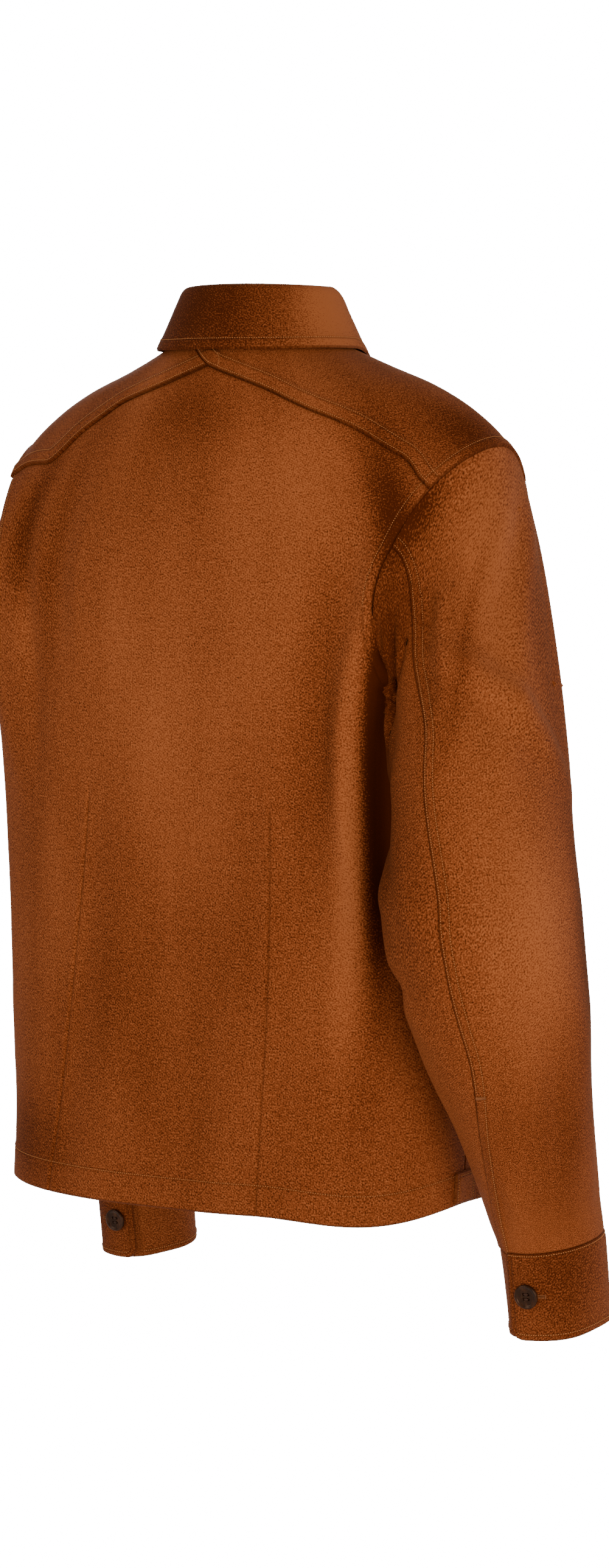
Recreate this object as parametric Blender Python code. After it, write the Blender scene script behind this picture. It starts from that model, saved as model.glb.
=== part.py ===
"""A worn wool shirt-jacket as its cut and sewn pieces, each a closed wall of cloth.

Metres, +Z up. The origin is the middle of the neck base at shoulder height.
The front faces -Y and the wearer's right is -X. Every panel lies on one smooth
form: rings of the body, of each arm and of the collar, worked out from the
tables below. `side` runs from 0 at the centre back to 1 at the centre front,
positive on the wearer's left; `drop` is the distance down the centre back.
"""

import bpy
import numpy as np

# Cloth and seams
GAP = 0.0003            # between pieces that are sewn edge to edge
WALL = 0.0020           # body and sleeve cloth
YOKE_LIFT = 0.0008      # the yoke's turned edge stands proud of the back
TAB_WALL = 0.0016
LAP_WALL = 0.0020       # one layer where the fronts or cuff ends lap
HEM_DROP = 0.631        # centre back, neck seam to hem
UNDERARM_DROP = 0.293   # where the side seam meets the armhole
SIDE_SEAM = 0.455       # the side seam, as a share of the half girth from centre back
FRONT_LAP = 0.030       # each front passes the centre by this share of the half girth
NECK_LAP = 0.08         # the right yoke passes the centre back by this share at the neck
SEAM_PULL = 0.00030     # each sewn edge is drawn in by this, for a gap of at least 0.3 mm
LAP_GAP = 0.0007        # between two laid layers
LAP_START = 0.925       # the left front begins to rise over the right one
LAP_FULL = 0.962
TILT_STEP = 1e-4        # step for slopes of the form

# Body rings, neck to hem: where each crosses the centre back, the side and the centre front
BODY_COLUMNS = ("drop", "half_width", "side_y", "back_y", "front_y",
                "back_z", "side_z", "front_z", "square")
BODY_RINGS = np.array([
    (0.000, 0.0720, 0.004, 0.0720, -0.068, 0.006, 0.0040, -0.078, 2.00),
    (0.032, 0.1100, 0.004, 0.0880, -0.082, -0.026, -0.0115, -0.100, 2.00),
    (0.058, 0.1450, 0.005, 0.0960, -0.092, -0.052, -0.0250, -0.122, 2.00),
    (0.086, 0.1750, 0.006, 0.1010, -0.100, -0.080, -0.0415, -0.142, 2.00),
    (0.116, 0.1980, 0.007, 0.1050, -0.106, -0.110, -0.0600, -0.163, 2.05),
    (0.146, 0.2125, 0.008, 0.1090, -0.111, -0.140, -0.0785, -0.185, 2.20),
    (0.176, 0.2190, 0.008, 0.1120, -0.115, -0.170, -0.1120, -0.207, 2.45),
    (0.211, 0.2160, 0.007, 0.1145, -0.119, -0.205, -0.1600, -0.232, 2.70),
    (0.251, 0.2070, 0.005, 0.1160, -0.122, -0.245, -0.2200, -0.262, 2.90),
    (0.296, 0.2010, 0.003, 0.1170, -0.124, -0.290, -0.2800, -0.297, 3.00),
    (0.356, 0.2000, 0.002, 0.1180, -0.125, -0.350, -0.3500, -0.350, 3.00),
    (0.431, 0.2000, 0.003, 0.1220, -0.125, -0.425, -0.4250, -0.425, 2.95),
    (0.506, 0.1980, 0.005, 0.1300, -0.124, -0.500, -0.4990, -0.500, 2.85),
    (0.571, 0.1960, 0.008, 0.1400, -0.123, -0.565, -0.5620, -0.565, 2.70),
    (0.631, 0.1950, 0.010, 0.1490, -0.122, -0.625, -0.6200, -0.625, 2.60),
])

# Armhole: an oval on the body form
ARMHOLE_SIDE = 0.470    # middle of the oval
ARMHOLE_BACK = {-1: 0.200, 1: 0.135}  # reach towards the centre back, right and left
ARMHOLE_FRONT = 0.150   # reach towards the centre front
ARMHOLE_TOP_DROP = 0.133
ARMHOLE_MID_DROP = 0.205
ARMHOLE_POINTS = 28
YOKE_JOIN = 3           # armhole points from the top down to the yoke's back corner
FRONT_JOIN = 3          # armhole points from the top down to the yoke's front seam

# Folds that are large enough to be form: (side, width in side, drop, length in drop, height)
BODY_FOLDS = [
    (-0.285, 0.080, 0.270, 0.190, 0.016),
    (-0.190, 0.060, 0.330, 0.200, -0.004),
    (0.330, 0.090, 0.230, 0.130, 0.008),
    (0.215, 0.045, 0.200, 0.120, -0.004),
    (0.640, 0.060, 0.240, 0.120, 0.010),
    (-0.640, 0.060, 0.240, 0.120, 0.010),
]

# The hem hangs lower below the right back armhole
HEM_DIP = 0.008
HEM_DIP_SIDE = -0.310
HEM_DIP_WIDTH = 0.17

# Darts of the back: share of the half girth at the tip and at the hem
DART_TIP_DROP = 0.318
DARTS = {"right": (0.136, 0.150), "left": (0.145, 0.197)}
DART_COLUMN = 5         # columns between the centre back and a dart
BACK_COLUMNS = 12       # columns between the centre back and the back's edge
BODY_ROWS = 12          # rows from the underarm to the hem
YOKE_ROWS = 5
FRONT_COLUMNS = 11
# The yokes' lower edges: share of the way from the centre back to the armhole, and drop
YOKE_EDGES = {
    "right": np.array([
        (0.000, 0.016),
        (0.260, 0.027),
        (0.435, 0.038),
        (0.620, 0.058),
        (0.788, 0.080),
        (0.925, 0.112),
        (0.955, 0.120),
        (0.972, 0.137),
        (1.000, 0.1487),
    ]),
    "left": np.array([
        (0.000, 0.016),
        (0.235, 0.028),
        (0.523, 0.048),
        (0.627, 0.066),
        (0.705, 0.084),
        (0.755, 0.103),
        (0.790, 0.114),
        (0.860, 0.121),
        (0.915, 0.128),
        (1.000, 0.1487),
    ]),
}

# Arms, armhole to the sleeve's end: middle, half sizes, and where the back seam lies,
# in degrees from straight back towards the outside
ARM_COLUMNS = ("along", "out", "back", "z", "half_across", "half_deep", "seam")
ARMS = {
    "right": np.array([
        (0.00, 0.192, 0.020, -0.160, 0.060, 0.085, 25.7),
        (0.30, 0.232, 0.083, -0.320, 0.062, 0.072, -3),
        (0.45, 0.241, 0.093, -0.400, 0.068, 0.078, 9),
        (0.60, 0.250, 0.078, -0.480, 0.061, 0.069, 9),
        (0.75, 0.257, 0.059, -0.545, 0.049, 0.056, -6),
        (0.90, 0.262, 0.041, -0.610, 0.040, 0.046, -24),
        (1.00, 0.266, 0.036, -0.638, 0.037, 0.043, -30),
        (1.20, 0.268, 0.028, -0.702, 0.036, 0.042, -30),
    ]),
    "left": np.array([
        (0.00, 0.192, -0.005, -0.160, 0.060, 0.085, 25.7),
        (0.30, 0.216, -0.085, -0.325, 0.061, 0.070, 0),
        (0.45, 0.226, -0.118, -0.405, 0.063, 0.073, 9),
        (0.60, 0.228, -0.132, -0.485, 0.058, 0.066, 9),
        (0.75, 0.227, -0.144, -0.560, 0.048, 0.055, -6),
        (0.90, 0.226, -0.155, -0.630, 0.040, 0.046, -24),
        (1.00, 0.226, -0.160, -0.660, 0.037, 0.043, -30),
        (1.20, 0.225, -0.168, -0.722, 0.036, 0.042, -30),
    ]),
}
CAP_END = 0.30          # where the sleeve head has become the arm's tube
CAP_TWIST = {-1: -17, 1: -5}  # the seams' swing in the right and left sleeve heads, in degrees
CAP_TWIST_MIDDLE = 0.13
SLEEVE_ROWS = 18
SEAM_JOIN = 5           # armhole points from the top down to the sleeve's back seam
ROW_CROWDING = 1.25     # rows lie closer at the armhole
UPPER_COLUMNS = 14      # of the columns round a sleeve, those of its upper piece
BODY_CLEARANCE = 0.006  # sleeves hang this far from the body
CLEAR_FROM = -0.190     # below this height they are pressed clear of it
CLEAR_FADE = 0.050
CLEAR_START = 0.070     # and from this far along them
SLEEVE_FOLDS = [
    # (along, length, turn from the back in degrees, width in degrees, height, slant in degrees per length)
    (0.22, 0.10, 60, 26, 0.007, 60),
    (0.33, 0.08, 300, 30, -0.006, 0),
    (0.44, 0.05, 330, 40, 0.005, 40),
    (0.52, 0.04, 300, 50, -0.005, -40),
]

# Cuffs
CUFF_START = 1.0
CUFF_END = 1.20
CUFF_EDGE_TURN = -22    # the lapping end, in degrees from straight back
CUFF_UNDERLAP = 30      # how far the under end passes beneath, in degrees
CUFF_LIFT = 0.0010
CUFF_COLUMNS = 34
CUFF_ROWS = 3

# Collar: rings like the body's, neck seam to the edge of the fall
COLLAR_COLUMNS = ("along", "half_width", "side_y", "back_y", "front_y", "back_z", "side_z", "front_z", "end")
STAND_RINGS = np.array([
    (0.0, 0.0720, 0.004, 0.0720, -0.0680, 0.0070, 0.0054, -0.0762, 0.990),
    (0.5, 0.0625, 0.004, 0.0640, -0.0610, 0.0240, 0.0220, -0.0590, 0.988),
    (0.8, 0.0561, 0.005, 0.0586, -0.0546, 0.0370, 0.0360, -0.0470, 0.986),
    (1.0, 0.0553, 0.005, 0.0578, -0.0540, 0.0434, 0.0418, -0.0426, 0.985),
])
FALL_RINGS = np.array([
    (0.00, 0.0553, 0.005, 0.0578, -0.0538, 0.0441, 0.0431, -0.0399, 0.985),
    (0.06, 0.0560, 0.005, 0.0585, -0.0545, 0.0480, 0.0470, -0.0360, 0.984),
    (0.12, 0.0585, 0.005, 0.0610, -0.0570, 0.0500, 0.0490, -0.0340, 0.982),
    (0.19, 0.0615, 0.005, 0.0640, -0.0605, 0.0480, 0.0470, -0.0365, 0.980),
    (0.40, 0.0660, 0.005, 0.0690, -0.0660, 0.0380, 0.0375, -0.0500, 0.968),
    (0.70, 0.0730, 0.004, 0.0760, -0.0745, 0.0210, 0.0215, -0.0730, 0.950),
    (1.00, 0.0810, 0.004, 0.0835, -0.0850, 0.0020, 0.0040, -0.0940, 0.925),
])
COLLAR_COLUMN_COUNT = 34
COLLAR_WALL = 0.0016

# Hem tabs, over the side seams
TAB_HALF_SIDE = 0.022
TAB_TOP_DROP = 0.606
TAB_HEM_MARGIN = 0.002
TAB_GAP = 0.0010        # clear of the flat faces of the panels beneath

# Buttons
BUTTON_RADIUS = 0.009
BUTTON_HEIGHT = 0.0030
BUTTON_RIM = 0.0018
BUTTON_DISH = 0.0008
BUTTON_SIDES = 14
FRONT_BUTTON_DROPS = (0.045, 0.145, 0.245, 0.345, 0.445, 0.545)
CUFF_BUTTON_TURN = 2
CUFF_BUTTON_ALONG = 1.10

CLOTH_COLOUR = (0.245, 0.062, 0.012, 1.0)
DARK_CLOTH_COLOUR = (0.190, 0.045, 0.010, 1.0)
HORN_COLOUR = (0.020, 0.010, 0.007, 1.0)


def smooth_curve(knots, values, at):
    """A smooth curve through the knots that never swings past them."""
    at = np.asarray(at, float)
    widths = np.diff(knots)
    slopes = np.diff(values) / widths
    turns = np.zeros(len(knots))
    turns[0], turns[-1] = slopes[0], slopes[-1]
    before, after = slopes[:-1], slopes[1:]
    same_way = before * after > 0
    mean = 2 * before * after / np.where(same_way, before + after, 1.0)
    turns[1:-1] = np.where(same_way, mean, 0.0)
    place = np.clip(np.searchsorted(knots, at, side="right") - 1, 0, len(widths) - 1)
    width = widths[place]
    step = (at - knots[place]) / width
    inside = np.clip(step, 0.0, 1.0)
    start, end = values[place], values[place + 1]
    start_turn, end_turn = turns[place] * width, turns[place + 1] * width
    curve = (start * (2 * inside ** 3 - 3 * inside ** 2 + 1)
             + start_turn * (inside ** 3 - 2 * inside ** 2 + inside)
             + end * (3 * inside ** 2 - 2 * inside ** 3)
             + end_turn * (inside ** 3 - inside ** 2))
    return curve + np.where(step > 1, end_turn, np.where(step < 0, start_turn, 0)) * (step - inside)


def columns_at(table, names, at):
    """Every column of a table, read at these places along its first one."""
    return {name: smooth_curve(table[:, 0], table[:, i], at) for i, name in enumerate(names) if i}


def oval(turn, ring):
    """A point of a ring: turn 0 at the back, pi at the front, squarer where `square` is over 2."""
    across, along = np.sin(turn), np.cos(turn)
    size = (np.abs(across) ** ring["square"] + np.abs(along) ** ring["square"]) ** (1 / ring["square"])
    across, along = across / size, along / size
    reach_y = np.where(along > 0, ring["back_y"], ring["front_y"]) - ring["side_y"]
    reach_z = np.where(along > 0, ring["back_z"], ring["front_z"]) - ring["side_z"]
    return np.stack([ring["half_width"] * across,
                     ring["side_y"] + reach_y * np.abs(along),
                     ring["side_z"] + reach_z * along ** 2], axis=-1)


def turn_table():
    """For rings down the body, the turn at each share of the half girth."""
    drops = np.linspace(-0.01, HEM_DROP + 0.01, 130)
    turns = np.linspace(0.0, np.pi, 361)
    ring = columns_at(BODY_RINGS, BODY_COLUMNS, drops[:, None])
    points = oval(turns[None, :], ring)
    steps = np.linalg.norm(np.diff(points, axis=1), axis=-1)
    girth = np.concatenate([np.zeros((len(drops), 1)), np.cumsum(steps, axis=1)], axis=1)
    girth /= girth[:, -1:]
    shares = np.linspace(0.0, 1.0, 241)
    table = np.array([np.interp(shares, row, turns) for row in girth])
    return drops, shares, table


DROPS, SHARES, TURNS = turn_table()


def turn_at(side, drop):
    """The turn for a place on the body, read between the rows of the table."""
    share = np.abs(side)
    folded = np.where(share > 1, 2 - share, share)
    row = np.clip((drop - DROPS[0]) / (DROPS[1] - DROPS[0]), 0, len(DROPS) - 1.001)
    column = np.clip(folded * (len(SHARES) - 1), 0, len(SHARES) - 1.001)
    i, j = row.astype(int), column.astype(int)
    u, v = row - i, column - j
    turn = ((1 - u) * ((1 - v) * TURNS[i, j] + v * TURNS[i, j + 1])
            + u * ((1 - v) * TURNS[i + 1, j] + v * TURNS[i + 1, j + 1]))
    turn = np.where(share > 1, 2 * np.pi - turn, turn)
    return turn * np.sign(side)


def body_form(side, drop):
    """The body's smooth form, without folds."""
    side, drop = np.broadcast_arrays(np.asarray(side, float), np.asarray(drop, float))
    return oval(turn_at(side, drop), columns_at(BODY_RINGS, BODY_COLUMNS, drop))


def bump(distance):
    """A soft hill: 1 at 0, down to nothing at 1."""
    return np.where(np.abs(distance) < 1, (1 + np.cos(np.pi * np.clip(distance, -1, 1))) / 2, 0.0)


def outward(form, side, drop):
    """The unit normal of a form by small steps either way."""
    along = form(side + TILT_STEP, drop) - form(side - TILT_STEP, drop)
    down = form(side, drop + TILT_STEP) - form(side, drop - TILT_STEP)
    normal = np.cross(along, down)
    return normal / np.linalg.norm(normal, axis=-1, keepdims=True)


def folded_body(side, drop):
    side, drop = np.broadcast_arrays(np.asarray(side, float), np.asarray(drop, float))
    drop = drop + HEM_DIP * bump((side - HEM_DIP_SIDE) / HEM_DIP_WIDTH) * np.clip(drop / HEM_DROP, 0, 1) ** 6
    height = sum(height * bump((side - at) / width) * bump((drop - down) / length)
                 for at, width, down, length, height in BODY_FOLDS)
    return body_form(side, drop) + outward(body_form, side, drop) * height[..., None]


def cloth(side, drop, lift=0.0):
    """Points of the body's cloth and its normals there, moved out by `lift`."""
    side, drop = np.broadcast_arrays(np.asarray(side, float), np.asarray(drop, float))
    normal = outward(folded_body, side, drop)
    return folded_body(side, drop) + normal * np.asarray(lift)[..., None], normal


def armhole(sign, turn):
    """Side and drop of an armhole at a turn: 0 at the shoulder, on through the back to the underarm."""
    reach = np.where(np.sin(turn) > 0, ARMHOLE_BACK[sign], ARMHOLE_FRONT)
    rise = np.where(np.cos(turn) > 0, ARMHOLE_MID_DROP - ARMHOLE_TOP_DROP, UNDERARM_DROP - ARMHOLE_MID_DROP)
    return ARMHOLE_SIDE - reach * np.sin(turn), ARMHOLE_MID_DROP - rise * np.cos(turn)


def wall(name, points, normals, faces, thickness, material):
    """One closed piece: its outer face, the same face moved in, and a rim round every open edge."""
    count = len(points)
    edges = {}
    for face in faces:
        for a, b in zip(face, face[1:] + face[:1]):
            edges[(a, b)] = edges.get((a, b), 0) + 1
    rim = [(b, a, a + count, b + count) for a, b in edges if (b, a) not in edges]
    inner = [tuple(i + count for i in reversed(face)) for face in faces]
    inner_points = points - normals * np.asarray(thickness)[..., None]
    mesh = bpy.data.meshes.new(name)
    mesh.from_pydata(np.concatenate([points, inner_points]).tolist(), [], faces + inner + rim)
    mesh.validate()
    mesh.shade_smooth()
    mesh.set_sharp_from_angle(angle=np.radians(40))
    mesh.materials.append(material)
    piece = bpy.data.objects.new(name, mesh)
    bpy.context.collection.objects.link(piece)
    return piece


def grid_faces(rows, columns, flip=False):
    """Quads over a grid of points, given row by row."""
    faces = []
    for i in range(rows - 1):
        for j in range(columns - 1):
            a = i * columns + j
            face = (a, a + 1, a + columns + 1, a + columns)
            faces.append(face[::-1] if flip else face)
    return faces


def yoke_edge_drop(label, share):
    edge = YOKE_EDGES[label]
    return smooth_curve(edge[:, 0], edge[:, 1], share)


def back_columns(edge, dart):
    """Sides of the back's columns in one row, centre back to its edge, with one column on the dart."""
    count = np.arange(BACK_COLUMNS + 1)
    return np.interp(count, [0, DART_COLUMN, BACK_COLUMNS], [0, dart, edge])


def armhole_points(sign, first, last):
    """Sides and drops of the armhole's points, counted from the shoulder towards the back."""
    step = 1 if last >= first else -1
    return armhole(sign, 2 * np.pi * np.arange(first, last + step, step) / ARMHOLE_POINTS)


def side_rows():
    """Sides and drops down the side seam, below the underarm."""
    down = np.linspace(0, 1, BODY_ROWS + 1)[1:]
    return ARMHOLE_SIDE + (SIDE_SEAM - ARMHOLE_SIDE) * down, UNDERARM_DROP + (HEM_DROP - UNDERARM_DROP) * down


def pulled_in(points):
    """A grid with its outer points drawn in by half a seam's gap."""
    result = points.copy()
    rows, columns = points.shape[:2]
    for i, j in [(i, j) for i in range(rows) for j in range(columns)
                 if i in (0, rows - 1) or j in (0, columns - 1)]:
        inner = points[min(max(i, 1), rows - 2), min(max(j, 1), columns - 2)]
        across = inner - points[i, j]
        result[i, j] += across / np.linalg.norm(across) * SEAM_PULL
    return result


def panel(name, side, drop, material, lift=0.0, thickness=WALL):
    """A panel of the body from its grid of places, clear of its neighbours by a seam's gap."""
    points, normals = cloth(side, drop, np.broadcast_to(lift, side.shape))
    points = pulled_in(points)
    return wall(name, points.reshape(-1, 3), normals.reshape(-1, 3),
                grid_faces(*side.shape, flip=side[-1, -1] < side[-1, 0]), thickness, material)


def make_back(material):
    """One panel, armhole to armhole, slit from each dart's tip down through the hem."""
    halves = []
    for label, sign in (("right", -1), ("left", 1)):
        edge_side, edge_drop = (np.concatenate(pair) for pair in
                                zip(armhole_points(sign, YOKE_JOIN, ARMHOLE_POINTS // 2), side_rows()))
        down = (edge_drop - edge_drop[0]) / (HEM_DROP - edge_drop[0])
        tip = (DART_TIP_DROP - edge_drop[0]) / (HEM_DROP - edge_drop[0])
        top_dart = edge_side[0] * DART_COLUMN / BACK_COLUMNS
        dart = np.interp(down, [0, tip, 1], [top_dart, *DARTS[label]])
        halves.append(np.array([back_columns(*pair) for pair in zip(edge_side, dart)]))
    right, left = halves
    share = np.arange(-BACK_COLUMNS, BACK_COLUMNS + 1) / BACK_COLUMNS
    top = np.where(share < 0, yoke_edge_drop("right", -share), yoke_edge_drop("left", share))
    side = np.concatenate([-right[:, :0:-1], left], axis=1)
    drop = top + down[:, None] * (HEM_DROP - top)
    points, normals = cloth(side, drop)
    points = pulled_in(points)
    rows, columns = side.shape
    flat, flat_normals = points.reshape(-1, 3), normals.reshape(-1, 3)
    faces = grid_faces(rows, columns)
    first_open = int(np.searchsorted(down, tip)) + 1
    for column in (BACK_COLUMNS - DART_COLUMN, BACK_COLUMNS + DART_COLUMN):
        slit = np.arange(first_open, rows) * columns + column
        along = flat[slit + 1] - flat[slit - 1]
        along /= np.linalg.norm(along, axis=-1, keepdims=True)
        twin = {int(old): len(flat) + i for i, old in enumerate(slit)}
        flat = np.concatenate([flat, flat[slit] + along * GAP / 2])
        flat[slit] -= along * GAP / 2
        flat_normals = np.concatenate([flat_normals, flat_normals[slit]])
        faces = [tuple(twin.get(i, i) for i in face) if min(i % columns for i in face) == column else face
                 for face in faces]
    return wall("back", flat, flat_normals, faces, WALL, material)


def make_yoke(label, sign, material):
    """From the neck down to the back's top edge, and over the shoulder to the front."""
    join_side, _ = armhole_points(sign, YOKE_JOIN, YOKE_JOIN)
    back_side = back_columns(join_side[0], join_side[0] * DART_COLUMN / BACK_COLUMNS)
    back_drop = yoke_edge_drop(label, np.arange(BACK_COLUMNS + 1) / BACK_COLUMNS)
    top_side, top_drop = armhole_points(sign, YOKE_JOIN - 1, -FRONT_JOIN)
    low_side = np.concatenate([back_side, top_side])
    low_drop = np.concatenate([back_drop, top_drop])
    down = np.linspace(0, 1, YOKE_ROWS + 1)[:, None]
    lean = np.clip(1 - np.arange(len(low_side)) / DART_COLUMN, 0, 1)
    side = sign * low_side[None, :] + NECK_LAP * (1 - down) * lean
    return panel("yoke_" + label, side, down * low_drop, material, lift=YOKE_LIFT, thickness=WALL + YOKE_LIFT)


def front_edge(sign):
    """Sides and drops down a front's outer edge: yoke seam, armhole, side seam."""
    seam_side, seam_drop = armhole_points(sign, -FRONT_JOIN, -FRONT_JOIN)
    down = np.linspace(0, 1, YOKE_ROWS + 1)
    yoke_part = (np.full(YOKE_ROWS + 1, seam_side[0]), down * seam_drop[0])
    armhole_part = armhole_points(sign, -FRONT_JOIN - 1, -ARMHOLE_POINTS // 2)
    return (np.concatenate(parts) for parts in zip(yoke_part, armhole_part, side_rows()))


def lap_lift(side):
    """The left front rises over the right one before the centre."""
    step = np.clip((side - LAP_START) / (LAP_FULL - LAP_START), 0, 1)
    return (LAP_WALL + LAP_GAP) * step * step * (3 - 2 * step)


def make_front(name, sign, material):
    edge_side, edge_drop = front_edge(sign)
    across = np.linspace(0, 1, FRONT_COLUMNS + 1)
    side = edge_side[:, None] + across * (1 + FRONT_LAP - edge_side[:, None])
    drop = np.broadcast_to(edge_drop[:, None], side.shape)
    lift = lap_lift(side) if sign > 0 else 0.0
    return panel(name, sign * side, drop, material, lift=lift)


def make_hem_tab(name, sign, material):
    """A small patch over the foot of the side seam."""
    across = np.linspace(-TAB_HALF_SIDE, TAB_HALF_SIDE, 4)
    down = np.linspace(TAB_TOP_DROP, HEM_DROP - TAB_HEM_MARGIN, 4)
    side, drop = np.meshgrid(SIDE_SEAM + across, down)
    return panel(name, sign * side, drop, material, lift=TAB_WALL + TAB_GAP, thickness=TAB_WALL)


def arm_tube(arm, sign, turn, along):
    """A point of the arm's tube: turn 0 is straight back, 90 degrees the outside."""
    at = columns_at(arm, ARM_COLUMNS, along)
    ahead = columns_at(arm, ARM_COLUMNS, along + 0.01)
    behind = columns_at(arm, ARM_COLUMNS, along - 0.01)
    middle = np.stack([sign * at["out"], at["back"], at["z"]], axis=-1)
    run = np.stack([sign * (ahead["out"] - behind["out"]), ahead["back"] - behind["back"],
                    ahead["z"] - behind["z"]], axis=-1)
    run /= np.linalg.norm(run, axis=-1, keepdims=True)
    out = np.array([sign, 0.0, 0.0]) - run * (run[..., :1] * sign)
    out /= np.linalg.norm(out, axis=-1, keepdims=True)
    back = np.cross(run, out) * -sign
    return (middle + out * (at["half_across"] * np.sin(turn))[..., None]
            + back * (at["half_deep"] * np.cos(turn))[..., None])


def seam_turn(arm, along):
    return np.radians(smooth_curve(arm[:, 0], arm[:, -1], along))


def clear_of_body(points, along):
    """Points below the underarm, pressed out to where they hang just clear of the body."""
    ring = columns_at(BODY_RINGS[:, [6, 0]][::-1], ("z", "drop"), points[..., 2])
    ring = columns_at(BODY_RINGS, BODY_COLUMNS, ring["drop"])
    x, y = points[..., 0], points[..., 1] - ring["side_y"]
    reach = np.where(y > 0, ring["back_y"], -ring["front_y"]) + BODY_CLEARANCE
    square = ring["square"]
    level = ((np.abs(x) / (ring["half_width"] + BODY_CLEARANCE)) ** square
             + (np.abs(y) / reach) ** square) ** (1 / square)
    push = (level ** 24 + 1) ** (1 / 24) / level
    weight = np.clip((CLEAR_FROM - points[..., 2]) / CLEAR_FADE, 0, 1) * np.clip(along / CLEAR_START, 0, 1)
    push = 1 + (push - 1) * weight * weight * (3 - 2 * weight)
    moved = points.copy()
    moved[..., 0] = x * push
    moved[..., 1] = y * push + ring["side_y"]
    return moved


def sleeve_form(arm, sign, on, along):
    """A point of a sleeve: `on` is the angle on from its back seam, `along` 0 at the armhole, 1 at the cuff."""
    on, along = np.broadcast_arrays(np.asarray(on, float), np.asarray(along, float))
    on = on + np.radians(CAP_TWIST[sign]) * bump(along / CAP_TWIST_MIDDLE - 1)
    tube = arm_tube(arm, sign, seam_turn(arm, along) + on, along)
    join = np.full_like(along, CAP_END)
    join_turn = seam_turn(arm, join) + on
    end = arm_tube(arm, sign, join_turn, join)
    end_run = (arm_tube(arm, sign, join_turn, join + 0.005)
               - arm_tube(arm, sign, join_turn, join - 0.005)) / 0.01 * CAP_END
    hole = 2 * np.pi * SEAM_JOIN / ARMHOLE_POINTS - on
    side, drop = armhole(sign, hole)
    start, normal = cloth(sign * side, drop)
    middle = body_form(sign * ARMHOLE_SIDE, ARMHOLE_MID_DROP)
    inward = middle - start
    inward -= normal * np.sum(inward * normal, axis=-1, keepdims=True)
    inward /= np.linalg.norm(inward, axis=-1, keepdims=True)
    level = np.cos(hole)[..., None]
    run = inward * (0.5 + 0.5 * level) + normal * (0.10 - 0.32 * level) + np.array([0, 0, -0.5])
    run *= np.linalg.norm(end - start, axis=-1, keepdims=True) / np.linalg.norm(run, axis=-1, keepdims=True)
    step = np.minimum(along / CAP_END, 1.0)[..., None]
    cap = (start * (2 * step ** 3 - 3 * step ** 2 + 1) + run * (step ** 3 - 2 * step ** 2 + step)
           + end * (3 * step ** 2 - 2 * step ** 3) + end_run * (step ** 3 - step ** 2))
    return clear_of_body(np.where(step < 1, cap, tube), along)


def folded_sleeve(arm, sign, on, along):
    form = sleeve_form(arm, sign, on, along)
    height = np.zeros(form.shape[:-1])
    for at, length, turn, width, rise, slant in SLEEVE_FOLDS:
        away = (np.degrees(on) - turn - slant * (along - at) / length + 180) % 360 - 180
        height += rise * bump(away / width) * bump((along - at) / length)
    def smooth_form(turn, down):
        return sleeve_form(arm, sign, turn, down)
    return form + outward(smooth_form, on, along) * sign * height[..., None]


def make_sleeve_piece(name, arm, sign, first, last, material):
    """One of a sleeve's two pieces, between two of the columns that run down it."""
    on = 2 * np.pi * np.arange(first, last + 1) / ARMHOLE_POINTS
    along = np.linspace(0, 1, SLEEVE_ROWS + 1) ** ROW_CROWDING
    on, along = np.meshgrid(on, along)
    def form(turn, down):
        return folded_sleeve(arm, sign, turn, down)
    points = form(on, along)
    normals = outward(form, on, along) * sign
    side, drop = armhole(sign, 2 * np.pi * SEAM_JOIN / ARMHOLE_POINTS - on[0])
    normals[0] = cloth(sign * side, drop)[1]
    points = pulled_in(points)
    return wall(name, points.reshape(-1, 3), normals.reshape(-1, 3),
                grid_faces(*on.shape, flip=sign < 0), WALL, material)


def cuff_lift(on):
    """The under end of a cuff sinks beneath its lapping end. `on` is in degrees from that end."""
    step = np.clip((on - 290) / 50, 0, 1)
    return CUFF_LIFT - (LAP_WALL + LAP_GAP) * step * step * (3 - 2 * step)


def cuff_place(arm, sign, turn, along, lift):
    """A point on the arm's tube moved out by `lift`, and the normal there; turn in radians."""
    def form(at, down):
        return arm_tube(arm, sign, at, down)
    normal = outward(form, turn, along) * sign
    return form(turn, along) + normal * np.asarray(lift)[..., None], normal


def make_cuff(name, arm, sign, material):
    on, along = np.meshgrid(np.linspace(0, 360 + CUFF_UNDERLAP, CUFF_COLUMNS + 1),
                            np.linspace(CUFF_START, CUFF_END, CUFF_ROWS + 1))
    points, normals = cuff_place(arm, sign, np.radians(CUFF_EDGE_TURN + on), along, cuff_lift(on))
    points = pulled_in(points)
    return wall(name, points.reshape(-1, 3), normals.reshape(-1, 3),
                grid_faces(*on.shape, flip=sign < 0), LAP_WALL, material)


def collar_form(rings):
    def form(side, along):
        ring = columns_at(rings, COLLAR_COLUMNS, along)
        ring["square"] = 2.0
        return oval(np.pi * side * ring["end"], ring)
    return form


def make_collar_piece(name, rings, material):
    side, along = np.meshgrid(np.linspace(-1, 1, COLLAR_COLUMN_COUNT + 1), rings[:, 0])
    form = collar_form(rings)
    return wall(name, form(side, along).reshape(-1, 3), outward(form, side, along).reshape(-1, 3),
                grid_faces(*side.shape), COLLAR_WALL, material)


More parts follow.
